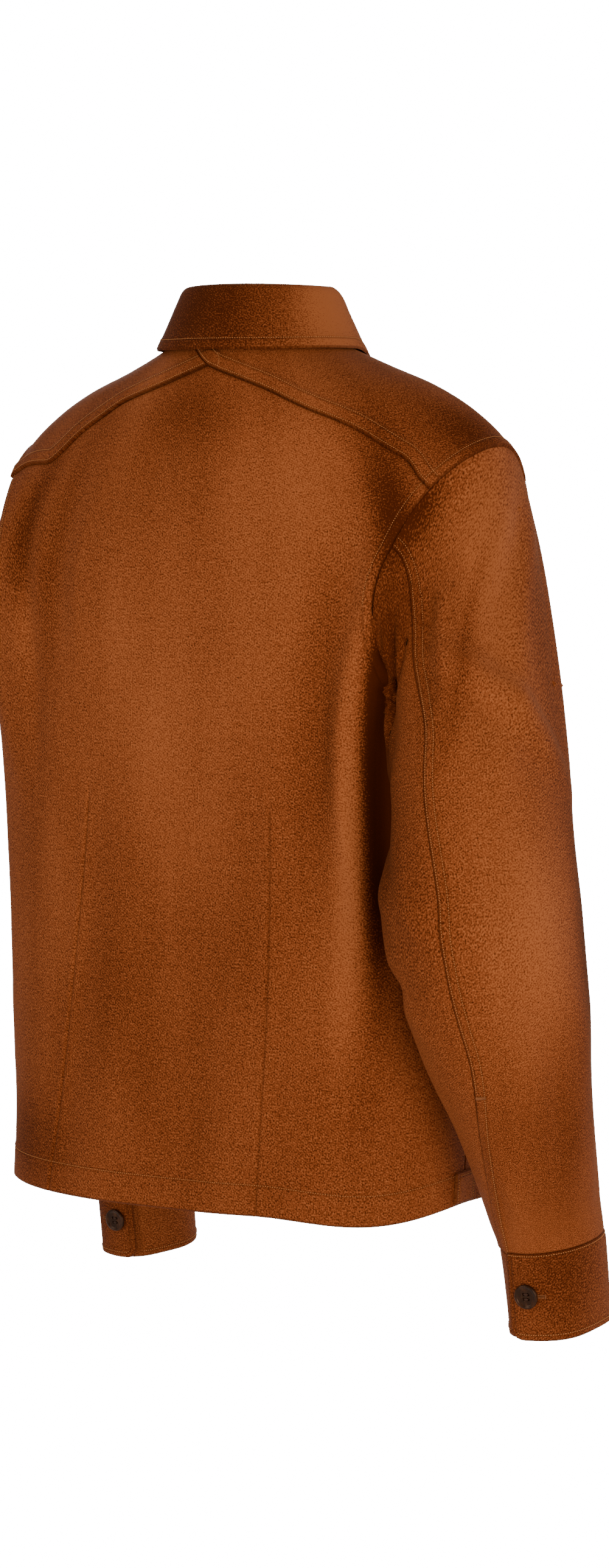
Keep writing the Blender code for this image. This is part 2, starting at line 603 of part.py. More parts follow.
def make_button(name, point, normal, material):
    """A turned disc with a raised rim, its back at the point and its face along the normal."""
    radius, inner = BUTTON_RADIUS, BUTTON_RADIUS - BUTTON_RIM
    profile = [(radius - 0.0008, 0.0), (radius, 0.0009), (radius, BUTTON_HEIGHT - 0.0008),
               (radius - 0.0007, BUTTON_HEIGHT), (inner, BUTTON_HEIGHT - BUTTON_DISH)]
    normal = normal / np.linalg.norm(normal)
    across = np.cross([0, 0, 1], normal)
    across /= np.linalg.norm(across)
    up = np.cross(normal, across)
    turns = 2 * np.pi * np.arange(BUTTON_SIDES) / BUTTON_SIDES
    rings = [point + normal * height + reach * (np.outer(np.cos(turns), across) + np.outer(np.sin(turns), up))
             for reach, height in profile]
    points = np.concatenate(rings + [[point], [point + normal * (BUTTON_HEIGHT - BUTTON_DISH)]])
    faces = []
    for ring in range(len(profile) - 1):
        for i in range(BUTTON_SIDES):
            a, b = ring * BUTTON_SIDES + i, ring * BUTTON_SIDES + (i + 1) % BUTTON_SIDES
            faces.append((a, b, b + BUTTON_SIDES, a + BUTTON_SIDES))
    bottom, top = len(points) - 2, len(points) - 1
    last = (len(profile) - 1) * BUTTON_SIDES
    for i in range(BUTTON_SIDES):
        after = (i + 1) % BUTTON_SIDES
        faces.append((bottom, after, i))
        faces.append((top, last + i, last + after))
    mesh = bpy.data.meshes.new(name)
    mesh.from_pydata(points.tolist(), [], faces)
    mesh.shade_smooth()
    mesh.set_sharp_from_angle(angle=np.radians(30))
    mesh.materials.append(material)
    piece = bpy.data.objects.new(name, mesh)
    bpy.context.collection.objects.link(piece)
    return piece


def make_material(name, colour, roughness):
    material = bpy.data.materials.new(name)
    material.use_nodes = True
    shader = material.node_tree.nodes["Principled BSDF"]
    shader.inputs["Base Color"].default_value = colour
    shader.inputs["Roughness"].default_value = roughness
    shader.inputs["Metallic"].default_value = 0.0
    material.diffuse_color = colour
    return material


def make_jacket():
    for old in list(bpy.context.scene.objects):
        bpy.data.objects.remove(old, do_unlink=True)
    wool = make_material("wool", CLOTH_COLOUR, 0.8)
    dark_wool = make_material("wool_double", DARK_CLOTH_COLOUR, 0.8)
    horn = make_material("horn", HORN_COLOUR, 0.3)
    make_back(wool)
    make_collar_piece("collar_stand", STAND_RINGS, dark_wool)
    make_collar_piece("collar_fall", FALL_RINGS, dark_wool)
    for label, sign in (("right", -1), ("left", 1)):
        arm = ARMS[label]
        make_yoke(label, sign, wool)
        make_front("front_" + label, sign, wool)
        make_hem_tab("hem_tab_" + label, sign, dark_wool)
        make_sleeve_piece("sleeve_upper_" + label, arm, sign, 0, UPPER_COLUMNS, wool)
        make_sleeve_piece("sleeve_under_" + label, arm, sign, UPPER_COLUMNS, ARMHOLE_POINTS, wool)
        make_cuff("cuff_" + label, arm, sign, dark_wool)
        point, normal = cuff_place(arm, sign, np.radians(CUFF_BUTTON_TURN), CUFF_BUTTON_ALONG,
                                   CUFF_LIFT + GAP)
        make_button("button_cuff_" + label, point, normal, horn)
    for count, drop in enumerate(FRONT_BUTTON_DROPS, 1):
        point, normal = cloth(1.0, drop, LAP_WALL + LAP_GAP + GAP)
        make_button(f"button_front_{count}", point, normal, horn)


make_jacket()
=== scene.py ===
# Brushed wool shirt-jacket, worn and hollow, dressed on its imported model.
# Metres, +Z up, the front faces -Y and the wearer's right is -X.
import math

import bpy
import mathutils
import numpy as np
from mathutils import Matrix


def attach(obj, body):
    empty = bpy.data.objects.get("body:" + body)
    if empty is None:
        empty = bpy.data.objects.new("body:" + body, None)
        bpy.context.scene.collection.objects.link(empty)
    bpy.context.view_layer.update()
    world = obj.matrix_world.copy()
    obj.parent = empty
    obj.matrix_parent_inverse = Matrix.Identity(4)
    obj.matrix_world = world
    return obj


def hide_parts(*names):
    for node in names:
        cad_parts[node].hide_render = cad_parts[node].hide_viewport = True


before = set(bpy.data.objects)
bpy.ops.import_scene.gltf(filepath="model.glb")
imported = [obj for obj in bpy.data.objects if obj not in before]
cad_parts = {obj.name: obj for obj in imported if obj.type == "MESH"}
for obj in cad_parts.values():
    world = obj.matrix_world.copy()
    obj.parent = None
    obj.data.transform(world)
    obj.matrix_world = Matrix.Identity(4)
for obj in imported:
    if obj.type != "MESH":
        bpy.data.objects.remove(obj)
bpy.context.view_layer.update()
print("frame loaded:", len(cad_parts), "solids")

cameraView = {"turn": 33.0, "distance": 3.0, "height": -0.122, "focus": 6522.0, "aim": (440.0, 850.0),
              "frame": (1001, 2576)}
studio = {"floorHeight": -1.40, "floorColour": (0.86, 0.86, 0.86), "world": 0.42, "backdrop": 16.0,
          "lights": [  # name, azimuth from the camera, height, distance, size, power
              ("keyLight", 14, 0.10, 2.7, 1.7, 46),
              ("sideLight", -62, 0.25, 2.4, 1.2, 16),
              ("edgeLight", 98, 0.20, 2.4, 1.2, 12),
              ("frontLight", 182, 0.35, 2.8, 1.8, 40)]}

body = {
    "columns": ("drop", "halfWidth", "sideY", "backY", "frontY", "backZ", "sideZ", "frontZ", "square"),
    "rings": np.array([
        (0.000, 0.0720, 0.004, 0.0720, -0.068, 0.006, 0.0040, -0.078, 2.00),
        (0.032, 0.1100, 0.004, 0.0880, -0.082, -0.026, -0.0115, -0.100, 2.00),
        (0.058, 0.1450, 0.005, 0.0960, -0.092, -0.052, -0.0250, -0.122, 2.00),
        (0.086, 0.1750, 0.006, 0.1010, -0.100, -0.080, -0.0415, -0.142, 2.00),
        (0.116, 0.1980, 0.007, 0.1050, -0.106, -0.110, -0.0600, -0.163, 2.05),
        (0.146, 0.2125, 0.008, 0.1090, -0.111, -0.140, -0.0785, -0.185, 2.20),
        (0.176, 0.2190, 0.008, 0.1120, -0.115, -0.170, -0.1120, -0.207, 2.45),
        (0.211, 0.2160, 0.007, 0.1145, -0.119, -0.205, -0.1600, -0.232, 2.70),
        (0.251, 0.2070, 0.005, 0.1160, -0.122, -0.245, -0.2200, -0.262, 2.90),
        (0.296, 0.2010, 0.003, 0.1170, -0.124, -0.290, -0.2800, -0.297, 3.00),
        (0.356, 0.2000, 0.002, 0.1180, -0.125, -0.350, -0.3500, -0.350, 3.00),
        (0.431, 0.2000, 0.003, 0.1220, -0.125, -0.425, -0.4250, -0.425, 2.95),
        (0.506, 0.1980, 0.005, 0.1300, -0.124, -0.500, -0.4990, -0.500, 2.85),
        (0.571, 0.1960, 0.008, 0.1400, -0.123, -0.565, -0.5620, -0.565, 2.70),
        (0.631, 0.1950, 0.010, 0.1490, -0.122, -0.625, -0.6200, -0.625, 2.60)]),
    "hemDrop": 0.631, "underarmDrop": 0.293, "sideSeam": 0.455, "frontLap": 0.030, "neckLap": 0.08,
    "lapStart": 0.925, "lapFull": 0.962, "lapWall": 0.0020, "lapGap": 0.0007,
    "hemDip": 0.008, "hemDipSide": -0.310, "hemDipWidth": 0.17,
    "folds": [  # side, width in side, drop, length in drop, height: as in the solids
        (-0.285, 0.080, 0.270, 0.190, 0.016),
        (-0.190, 0.060, 0.330, 0.200, -0.004),
        (0.330, 0.090, 0.230, 0.130, 0.008),
        (0.215, 0.045, 0.200, 0.120, -0.004),
        (0.640, 0.060, 0.240, 0.120, 0.010),
        (-0.640, 0.060, 0.240, 0.120, 0.010)],
    "creases": [  # side and drop at both ends, width, height: soft ridges and troughs laid on one by one
        (-0.262, 0.180, -0.277, 0.430, 0.0075, 0.0048),
        (-0.295, 0.180, -0.303, 0.440, 0.0085, -0.0150),
        (-0.236, 0.175, -0.222, 0.440, 0.011, -0.0026),
        (-0.206, 0.215, -0.160, 0.330, 0.012, 0.0018),
        (-0.345, 0.300, -0.320, 0.600, 0.018, -0.0032),
        (0.292, 0.150, 0.262, 0.300, 0.010, -0.0030),
        (0.325, 0.165, 0.300, 0.330, 0.013, 0.0028),
        (0.245, 0.180, 0.215, 0.290, 0.012, 0.0015),
        (0.352, 0.170, 0.362, 0.480, 0.030, 0.0080),
        (0.360, 0.540, 0.350, 0.650, 0.030, -0.0030),
        (0.425, 0.300, 0.400, 0.560, 0.014, -0.0026),
        (0.120, 0.500, 0.170, 0.625, 0.020, -0.0018),
        (-0.070, 0.520, -0.020, 0.625, 0.022, -0.0014),
        (-0.225, 0.520, -0.190, 0.628, 0.016, 0.0016),
        (-0.020, 0.055, 0.100, 0.110, 0.018, -0.0010),
        (-0.180, 0.085, -0.290, 0.150, 0.012, -0.0013),
        (-0.560, 0.230, -0.640, 0.420, 0.015, -0.0030),
        (-0.610, 0.200, -0.700, 0.460, 0.016, 0.0028),
        (0.565, 0.225, 0.655, 0.400, 0.015, -0.0030),
        (0.610, 0.200, 0.715, 0.480, 0.017, 0.0028),
        (-0.820, 0.300, -0.780, 0.600, 0.022, -0.0020),
        (0.800, 0.320, 0.830, 0.610, 0.022, -0.0020),
        (-0.600, 0.160, -0.780, 0.300, 0.020, -0.0022),
        (0.600, 0.170, 0.770, 0.330, 0.018, -0.0024),
        (-0.930, 0.200, -0.900, 0.420, 0.016, 0.0016),
        (0.900, 0.300, 0.860, 0.560, 0.018, -0.0018),
        (-0.700, 0.450, -0.740, 0.620, 0.020, -0.0024),
        (0.680, 0.460, 0.720, 0.620, 0.022, 0.0022),
        (-0.500, 0.400, -0.480, 0.620, 0.020, -0.0028),
        (0.500, 0.380, 0.490, 0.620, 0.018, -0.0026),
        (0.060, 0.300, 0.090, 0.600, 0.030, 0.0016),
        (-0.120, 0.380, -0.105, 0.620, 0.026, 0.0018),
        (0.175, 0.300, 0.195, 0.560, 0.020, -0.0016)],
    "napShadeAndSheen": [  # painted shade and painted sheen on the nap, darker or brighter: side, drop, half width, half height (m), slant, strength
        (0.290, 0.165, 0.012, 0.060, 0.00, -0.9), (0.235, 0.180, 0.014, 0.080, 0.05, -0.4),
        (0.283, 0.225, 0.018, 0.030, 0.00, 0.5), (0.150, 0.035, 0.045, 0.032, 0.00, 0.55),
        (0.030, 0.050, 0.080, 0.024, 0.00, -0.4), (0.020, 0.260, 0.110, 0.120, 0.10, 0.30),
        (-0.150, 0.120, 0.055, 0.060, 0.20, 0.30), (-0.282, 0.145, 0.014, 0.040, -0.10, -0.6),
        (-0.253, 0.350, 0.011, 0.150, 0.00, 0.9), (-0.205, 0.300, 0.020, 0.120, 0.05, -0.35),
        (0.060, 0.520, 0.090, 0.110, 0.00, -0.25), (-0.255, 0.545, 0.035, 0.080, 0.00, -0.4),
        (0.270, 0.600, 0.045, 0.035, 0.00, -0.7), (-0.300, 0.300, 0.012, 0.125, 0.00, -4.0),
        (-0.288, 0.258, 0.006, 0.030, 0.00, -1.2),
        (-0.432, 0.115, 0.028, 0.034, 0.00, -1.0), (-0.330, 0.090, 0.045, 0.034, 0.00, -0.35),
        (0.560, 0.300, 0.050, 0.150, 0.10, 0.3), (-0.600, 0.350, 0.050, 0.160, 0.10, -0.3),
        (0.800, 0.250, 0.070, 0.140, -0.1, -0.3), (-0.780, 0.480, 0.070, 0.120, 0.1, 0.3),
        (0.700, 0.560, 0.090, 0.060, 0.00, -0.3), (-0.850, 0.200, 0.060, 0.100, 0.00, 0.25)],
    "halfGirth": 0.55,
}
armhole = {"side": 0.470, "back": {-1: 0.200, 1: 0.135}, "front": 0.150, "topDrop": 0.133, "midDrop": 0.205,
           "points": 28, "yokeJoin": 3, "frontJoin": 3, "seamJoin": 5}
dart = {"tipDrop": 0.318, "right": (0.136, 0.150), "left": (0.145, 0.197), "column": 5, "columns": 12,
        "fade": 0.02, "groove": 0.0010, "grooveWidth": 0.0013}
yokeEdges = {  # share of the way from the centre back to the armhole, and drop
    -1: np.array([(0, 0.016), (0.260, 0.027), (0.435, 0.038), (0.620, 0.058), (0.788, 0.080), (0.925, 0.112),
                  (0.955, 0.120), (0.972, 0.137), (1.000, 0.1487)]),
    1: np.array([(0, 0.016), (0.235, 0.028), (0.523, 0.048), (0.627, 0.066), (0.705, 0.084), (0.755, 0.103),
                 (0.790, 0.114), (0.860, 0.121), (0.915, 0.128), (1.000, 0.1487)])}
arm = {
    "columns": ("along", "out", "back", "z", "halfAcross", "halfDeep", "seam"),
    "right": np.array([
        (0.00, 0.192, 0.020, -0.160, 0.060, 0.085, 25.7),
        (0.30, 0.232, 0.083, -0.320, 0.062, 0.072, -3),
        (0.45, 0.241, 0.093, -0.400, 0.068, 0.078, 9),
        (0.60, 0.250, 0.078, -0.480, 0.061, 0.069, 9),
        (0.75, 0.257, 0.059, -0.545, 0.049, 0.056, -6),
        (0.90, 0.262, 0.041, -0.610, 0.040, 0.046, -24),
        (1.00, 0.266, 0.036, -0.638, 0.037, 0.043, -30),
        (1.20, 0.268, 0.028, -0.702, 0.036, 0.042, -30)]),
    "left": np.array([
        (0.00, 0.192, -0.005, -0.160, 0.060, 0.085, 25.7),
        (0.30, 0.216, -0.085, -0.325, 0.061, 0.070, 0),
        (0.45, 0.226, -0.118, -0.405, 0.063, 0.073, 9),
        (0.60, 0.228, -0.132, -0.485, 0.058, 0.066, 9),
        (0.75, 0.227, -0.144, -0.560, 0.048, 0.055, -6),
        (0.90, 0.226, -0.155, -0.630, 0.040, 0.046, -24),
        (1.00, 0.226, -0.160, -0.660, 0.037, 0.043, -30),
        (1.20, 0.225, -0.168, -0.722, 0.036, 0.042, -30)]),
    "capEnd": 0.30, "twist": {-1: -17, 1: -5}, "twistMiddle": 0.13, "crowding": 1.25, "upperPoints": 14,
    "flatAround": 0.065, "flatDown": 0.60, "shift": 0.7, "ventFrom": 0.66, "tackAt": 0.662,
    "clearance": 0.006, "clearFrom": -0.190, "clearFade": 0.050, "clearStart": 0.070,
    "folds": [  # along, length, turn from the seam, width, height, slant: as in the solids
        (0.22, 0.10, 60, 26, 0.007, 60),
        (0.33, 0.08, 300, 30, -0.006, 0),
        (0.44, 0.05, 330, 40, 0.005, 40),
        (0.52, 0.04, 300, 50, -0.005, -40)],
    "creases": {  # turn and along at both ends, width, height
        "right": [
            (84, 0.02, 22, 0.30, 0.012, -0.0038),
            (98, 0.03, 38, 0.34, 0.014, 0.0034),
            (60, 0.03, 8, 0.20, 0.010, 0.0020),
            (118, 0.05, 88, 0.44, 0.016, 0.0020),
            (-12, 0.03, -38, 0.09, 0.006, -0.0040),
            (-24, 0.02, -60, 0.07, 0.006, 0.0040),
            (-4, 0.07, -30, 0.13, 0.006, -0.0030),
            (20, 0.06, 12, 0.22, 0.009, -0.0020),
            (40, 0.52, 70, 0.80, 0.013, -0.0020),
            (66, 0.50, 96, 0.78, 0.015, 0.0018),
            (20, 0.60, 36, 0.90, 0.010, 0.0016),
            (110, 0.66, 130, 0.92, 0.013, -0.0016),
            (50, 0.86, 92, 0.985, 0.010, -0.0018),
            (-20, 0.10, -42, 0.28, 0.009, 0.0028),
            (-32, 0.12, -62, 0.33, 0.008, -0.0028),
            (-50, 0.36, -20, 0.48, 0.010, -0.0026),
            (-60, 0.46, -24, 0.60, 0.011, 0.0022),
            (150, 0.20, 190, 0.42, 0.014, -0.0026),
            (170, 0.46, 140, 0.60, 0.013, -0.0026),
            (200, 0.52, 160, 0.70, 0.014, 0.0020)],
        "left": [
            (96, 0.03, 60, 0.34, 0.012, -0.0026),
            (76, 0.05, 40, 0.30, 0.013, 0.0024),
            (116, 0.06, 100, 0.40, 0.016, 0.0018),
            (16, 0.08, 8, 0.24, 0.010, -0.0020),
            (40, 0.50, 66, 0.76, 0.013, -0.0020),
            (120, 0.46, 92, 0.66, 0.014, -0.0018),
            (30, 0.62, 44, 0.92, 0.011, 0.0015),
            (-24, 0.12, -50, 0.34, 0.010, -0.0026),
            (-44, 0.38, -12, 0.50, 0.011, 0.0024),
            (160, 0.24, 196, 0.44, 0.014, -0.0026),
            (190, 0.50, 150, 0.64, 0.013, -0.0024)]},
    "napShadeAndSheen": {  # painted shade and painted sheen on the sleeves' nap: turn from the seam, along, half width (degrees), half length, slant, strength
        "right": [(46, 0.06, 26, 0.06, 0, 0.5), (40, 0.15, 6, 0.13, -223, -0.4), (60, 0.15, 24, 0.12, -60, 0.6),
                  (60, 0.45, 30, 0.13, 0, 0.6), (100, 0.14, 18, 0.12, 0, -0.3), (-30, 0.06, 30, 0.09, 0, -1.2),
                  (-60, 0.28, 32, 0.18, 0, -1.3), (70, 0.78, 40, 0.12, 0, -0.3), (-20, 0.55, 22, 0.16, 0, -0.3),
                  (14, 0.00, 16, 0.022, 0, -1.4), (114, 0.50, 24, 0.22, 0, -1.0), (8, 0.20, 12, 0.12, 0, -0.3),
                  (130, 0.60, 30, 0.25, 0, -0.3), (180, 0.30, 40, 0.20, 0, 0.3), (230, 0.60, 40, 0.2, 0, -0.3)],
        "left": [(40, 0.08, 26, 0.08, 0, 0.4), (30, 0.20, 18, 0.12, 0, -0.6), (70, 0.40, 34, 0.16, 0, 0.4),
                 (-25, 0.08, 34, 0.10, 0, -1.0), (110, 0.62, 34, 0.2, 0, -0.3), (180, 0.30, 40, 0.2, 0, 0.3),
                 (10, 0.95, 60, 0.10, 0, -0.3)]},
}
# The cuff's bells darken its nap: painted shade.
cuff = {"start": 1.0, "end": 1.20, "edgeTurn": -22, "underlap": 30, "lift": 0.0010, "corner": 0.009,
        "buttonTurn": 2, "buttonAlong": 1.10, "holeTurn": 0.115, "flatAround": 0.040, "depth": 0.064, "shift": 1.6,
        "napShadeAndSheen": [(0.045, 0.335, 0.040, 0.05, 0, -0.7), (0.00, 0.350, 0.012, 0.06, 0, -0.3)]}
collar = {
    "columns": ("along", "halfWidth", "sideY", "backY", "frontY", "backZ", "sideZ", "frontZ", "end"),
    "stand": np.array([
        (0.0, 0.0720, 0.004, 0.0720, -0.0680, 0.0070, 0.0054, -0.0762, 0.990),
        (0.5, 0.0625, 0.004, 0.0640, -0.0610, 0.0240, 0.0220, -0.0590, 0.988),
        (0.8, 0.0561, 0.005, 0.0586, -0.0546, 0.0370, 0.0360, -0.0470, 0.986),
        (1.0, 0.0553, 0.005, 0.0578, -0.0540, 0.0434, 0.0418, -0.0426, 0.985)]),
    "fall": np.array([
        (0.00, 0.0553, 0.005, 0.0578, -0.0538, 0.0441, 0.0431, -0.0399, 0.985),
        (0.06, 0.0560, 0.005, 0.0585, -0.0545, 0.0480, 0.0470, -0.0360, 0.984),
        (0.12, 0.0585, 0.005, 0.0610, -0.0570, 0.0500, 0.0490, -0.0340, 0.982),
        (0.19, 0.0615, 0.005, 0.0640, -0.0605, 0.0480, 0.0470, -0.0365, 0.980),
        (0.40, 0.0660, 0.005, 0.0690, -0.0660, 0.0380, 0.0375, -0.0500, 0.968),
        (0.70, 0.0730, 0.004, 0.0760, -0.0745, 0.0210, 0.0215, -0.0730, 0.950),
        (1.00, 0.0810, 0.004, 0.0835, -0.0850, 0.0020, 0.0040, -0.0940, 0.925)]),
    # The collar's bells are painted shade and painted light on its nap.
    "napShadeAndSheen": [(0.10, 0.03, 0.040, 0.05, 0, -1.5), (-0.098, 0.03, 0.030, 0.05, 0, 1.4),
            (0.01, 0.03, 0.05, 0.05, 0, -1.0),
            (0.17, 0.03, 0.04, 0.05, 0, 0.3), (-0.17, 0.03, 0.04, 0.05, 0, -0.3)],
    "wall": 0.0016, "flatAcross": 0.21, "flatDown": 0.062, "shift": 2.6}
# The hem tab's last value brightens its nap all over: painted light against the shade the sleeve casts on it.
hemTab = {"halfSide": 0.022, "topDrop": 0.606, "hemMargin": 0.002, "gap": 0.0010, "wall": 0.0016,
          "roundEdge": 0.0005, "row": 0.0022, "shift": 0.4, "napShadeAndSheen": 0.5}
cloth = {"wall": 0.0020, "yokeLift": 0.0008, "seamPull": 0.00030, "seamMeet": 2.5, "roundEdge": 0.0006}
sewing = {"pitch": 0.0018, "length": 0.00125, "radius": 0.00026, "edgeRow": 0.0016, "wideRow": 0.0105,
          "sleeveRow": 0.0074, "armholeRow": 0.0070, "collarRow": 0.0075, "hemRow": 0.0220, "cuffRow": 0.0045,
          "grooveWidth": 0.0011, "puckerWidth": 0.0060, "thickRadius": 0.00032}
relief = {  # by how much the cloth stands up or sinks along its seams, in metres
    "armhole": 0.0008, "hem": 0.0005, "dartSides": 0.0003, "underYoke": -0.0004, "yokeSeam": 0.0011,
    "yokeArmhole": 0.0007, "centreBack": 0.0008, "frontEdge": 0.0004, "sleeveHead": -0.0005, "felledSeam": 0.0011,
    "underSeam": -0.0004, "cuffEdge": 0.0004, "cuffTop": -0.0008, "collarEdge": 0.0004}
button = {"radius": 0.0090, "height": 0.0030, "rim": 0.0020, "dish": 0.0009, "hole": 0.00085, "holeDepth": 0.0016,
          "holeApart": 0.0018, "turns": 56, "gap": 0.0003, "buttonhole": 0.018,
          "frontDrops": (0.045, 0.145, 0.245, 0.345, 0.445, 0.545)}
lapRise = body["lapWall"] + body["lapGap"]
tiny, farAway = 1e-4, 0.05


def unit(vectors):
    return vectors / np.linalg.norm(vectors, axis=-1, keepdims=True)


# A direction turned square to a normal.
def squareTo(normal, direction):
    return unit(direction - normal * np.sum(direction * normal, axis=-1, keepdims=True))


# From 0 to 1 with soft ends, and flat beyond them.
def eased(step):
    step = np.clip(step, 0, 1)
    return step * step * (3 - 2 * step)


# A cubic over a step from 0 to 1, from a start to an end with the run given at each.
def cubic(step, start, startRun, end, endRun):
    return (start * (2 * step ** 3 - 3 * step ** 2 + 1) + startRun * (step ** 3 - 2 * step ** 2 + step)
            + end * (3 * step ** 2 - 2 * step ** 3) + endRun * (step ** 3 - step ** 2))


# A curve through the knots with flat turns at its peaks, so that it never swings past them.
def smoothCurve(knots, values, at):
    at = np.asarray(at, float)
    widths = np.diff(knots)
    slopes = np.diff(values) / widths
    before, after = slopes[:-1], slopes[1:]
    sameWay = before * after > 0
    mean = 2 * before * after / np.where(sameWay, before + after, 1.0)
    turns = np.concatenate([slopes[:1], np.where(sameWay, mean, 0.0), slopes[-1:]])
    place = np.clip(np.searchsorted(knots, at, side="right") - 1, 0, len(widths) - 1)
    step = (at - knots[place]) / widths[place]
    inside = np.clip(step, 0.0, 1.0)
    startRun, endRun = turns[place] * widths[place], turns[place + 1] * widths[place]
    past = np.where(step > 1, endRun, np.where(step < 0, startRun, 0)) * (step - inside)
    return cubic(inside, values[place], startRun, values[place + 1], endRun) + past


def columnsAt(table, names, at):
    return {name: smoothCurve(table[:, 0], table[:, i], at) for i, name in enumerate(names) if i}


def sameShape(side, drop):
    return np.broadcast_arrays(np.asarray(side, float), np.asarray(drop, float))


# A ring: a squared oval whose back, side and front each have their own reach and height.
def oval(turn, ring):
    across, along = np.sin(turn), np.cos(turn)
    size = (np.abs(across) ** ring["square"] + np.abs(along) ** ring["square"]) ** (1 / ring["square"])
    across, along = across / size, along / size
    reachY = np.where(along > 0, ring["backY"], ring["frontY"]) - ring["sideY"]
    reachZ = np.where(along > 0, ring["backZ"], ring["frontZ"]) - ring["sideZ"]
    return np.stack([ring["halfWidth"] * across, ring["sideY"] + reachY * np.abs(along),
                     ring["sideZ"] + reachZ * along ** 2], axis=-1)


# For rings down the body, the turn at each share of the half girth, by the length walked round the ring.
def turnTable():
    drops = np.linspace(-0.01, body["hemDrop"] + 0.01, 130)
    turns = np.linspace(0.0, np.pi, 361)
    points = oval(turns[None, :], columnsAt(body["rings"], body["columns"], drops[:, None]))
    steps = np.linalg.norm(np.diff(points, axis=1), axis=-1)
    girth = np.concatenate([np.zeros((len(drops), 1)), np.cumsum(steps, axis=1)], axis=1)
    girth /= girth[:, -1:]
    shares = np.linspace(0.0, 1.0, 241)
    return drops, shares, np.array([np.interp(shares, row, turns) for row in girth])


tableDrops, tableShares, tableTurns = turnTable()


def turnAt(side, drop):
    share = np.abs(side)
    folded = np.where(share > 1, 2 - share, share)
    row = np.clip((drop - tableDrops[0]) / (tableDrops[1] - tableDrops[0]), 0, len(tableDrops) - 1.001)
    column = np.clip(folded * (len(tableShares) - 1), 0, len(tableShares) - 1.001)
    i, j = row.astype(int), column.astype(int)
    u, v = row - i, column - j
    turn = ((1 - u) * ((1 - v) * tableTurns[i, j] + v * tableTurns[i, j + 1])
            + u * ((1 - v) * tableTurns[i + 1, j] + v * tableTurns[i + 1, j + 1]))
    return np.where(share > 1, 2 * np.pi - turn, turn) * np.sign(side)


def bodyForm(side, drop):
    side, drop = sameShape(side, drop)
    return oval(turnAt(side, drop), columnsAt(body["rings"], body["columns"], drop))


def bump(distance):
    return np.where(np.abs(distance) < 1, (1 + np.cos(np.pi * np.clip(distance, -1, 1))) / 2, 0.0)


# The normal of a form, from how it runs over a tiny step along each of its two parameters.
def outward(form, side, drop, here=None):
    here = form(side, drop) if here is None else here
    return unit(np.cross(form(side + tiny, drop) - here, form(side, drop + tiny) - here))


# Painted shade and sheen on the nap: soft bells, each leaning with its slant, added up over the flat cloth.
def napShadeAndSheenAt(across, down, bells):
    napShadeAndSheen = np.zeros(np.broadcast(across, down).shape)
    for atAcross, atDown, width, height, slant, strength in bells:
        fromMiddle = down - atDown
        napShadeAndSheen += strength * np.exp(-((across - atAcross - slant * fromMiddle) / width) ** 2
                                 - (fromMiddle / height) ** 2)
    return napShadeAndSheen


# Each crease is a line on the flat cloth: its height falls off as a bell with the distance from the
# line and fades towards both ends, and the line bows a little, so no two look alike.
def creaseHeight(across, down, creases):
    height = np.zeros(across.shape)
    for count, (acrossA, downA, acrossB, downB, width, rise) in enumerate(creases):
        runA, runD = acrossB - acrossA, downB - downA
        length = math.hypot(runA, runD)
        share = ((across - acrossA) * runA + (down - downA) * runD) / length ** 2
        bow = 0.10 * length * math.sin(2.3 * count + 0.7) * np.sin(np.pi * np.clip(share, 0, 1))
        away = ((across - acrossA) * runD - (down - downA) * runA) / length - bow
        past = np.clip(np.abs(share - 0.5) - 0.5, 0, None) * length
        fade = 0.35 + 0.65 * np.sin(np.pi * np.clip(share, 0, 1))
        height += rise * fade * np.exp(-(away / width) ** 2 - (past / (1.6 * width)) ** 2)
    return height


def foldedBody(side, drop):
    side, drop = sameShape(side, drop)
    dip = bump((side - body["hemDipSide"]) / body["hemDipWidth"])
    drop = drop + body["hemDip"] * dip * np.clip(drop / body["hemDrop"], 0, 1) ** 6
    height = sum(rise * bump((side - at) / width) * bump((drop - down) / length)
                 for at, width, down, length, rise in body["folds"])
    height = height + creaseHeight(side * body["halfGirth"], drop, bodyCreases)
    form = bodyForm(side, drop)
    return form + outward(bodyForm, side, drop, form) * height[..., None]


bodyCreases = [(sideA * body["halfGirth"], dropA, sideB * body["halfGirth"], dropB, width, rise)
               for sideA, dropA, sideB, dropB, width, rise in body["creases"]]
bodyShadeAndSheenBells = [(bell[0] * body["halfGirth"],) + bell[1:] for bell in body["napShadeAndSheen"]]


def bodyCloth(side, drop):
    form = foldedBody(side, drop)
    return form, outward(foldedBody, side, drop, form)


# A body panel's place on the flat cloth, and the painted shade and sheen on its nap there.
def bodyPlace(side, drop, shift=0.0):
    across = side * body["halfGirth"]
    return np.stack([across + shift, drop], axis=-1), napShadeAndSheenAt(across, drop, bodyShadeAndSheenBells)


def armholeAt(sign, turn):
    reach = np.where(np.sin(turn) > 0, armhole["back"][sign], armhole["front"])
    rise = np.where(np.cos(turn) > 0, armhole["midDrop"] - armhole["topDrop"],
                    body["underarmDrop"] - armhole["midDrop"])
    return armhole["side"] - reach * np.sin(turn), armhole["midDrop"] - rise * np.cos(turn)


# The cloth's points and normals round each armhole at even turns, read by the sleeves.
def armholeRing(sign):
    side, drop = armholeAt(sign, np.linspace(0, 2 * np.pi, 1441))
    return np.concatenate(bodyCloth(sign * side, drop), axis=-1)


armholeRings = {sign: armholeRing(sign) for sign in (-1, 1)}


def atArmhole(sign, turn):
    ring = armholeRings[sign]
    place = (turn % (2 * np.pi)) / (2 * np.pi) * (len(ring) - 1)
    first = np.minimum(place.astype(int), len(ring) - 2)
    share = (place - first)[..., None]
    both = ring[first] * (1 - share) + ring[first + 1] * share
    return both[..., :3], both[..., 3:]


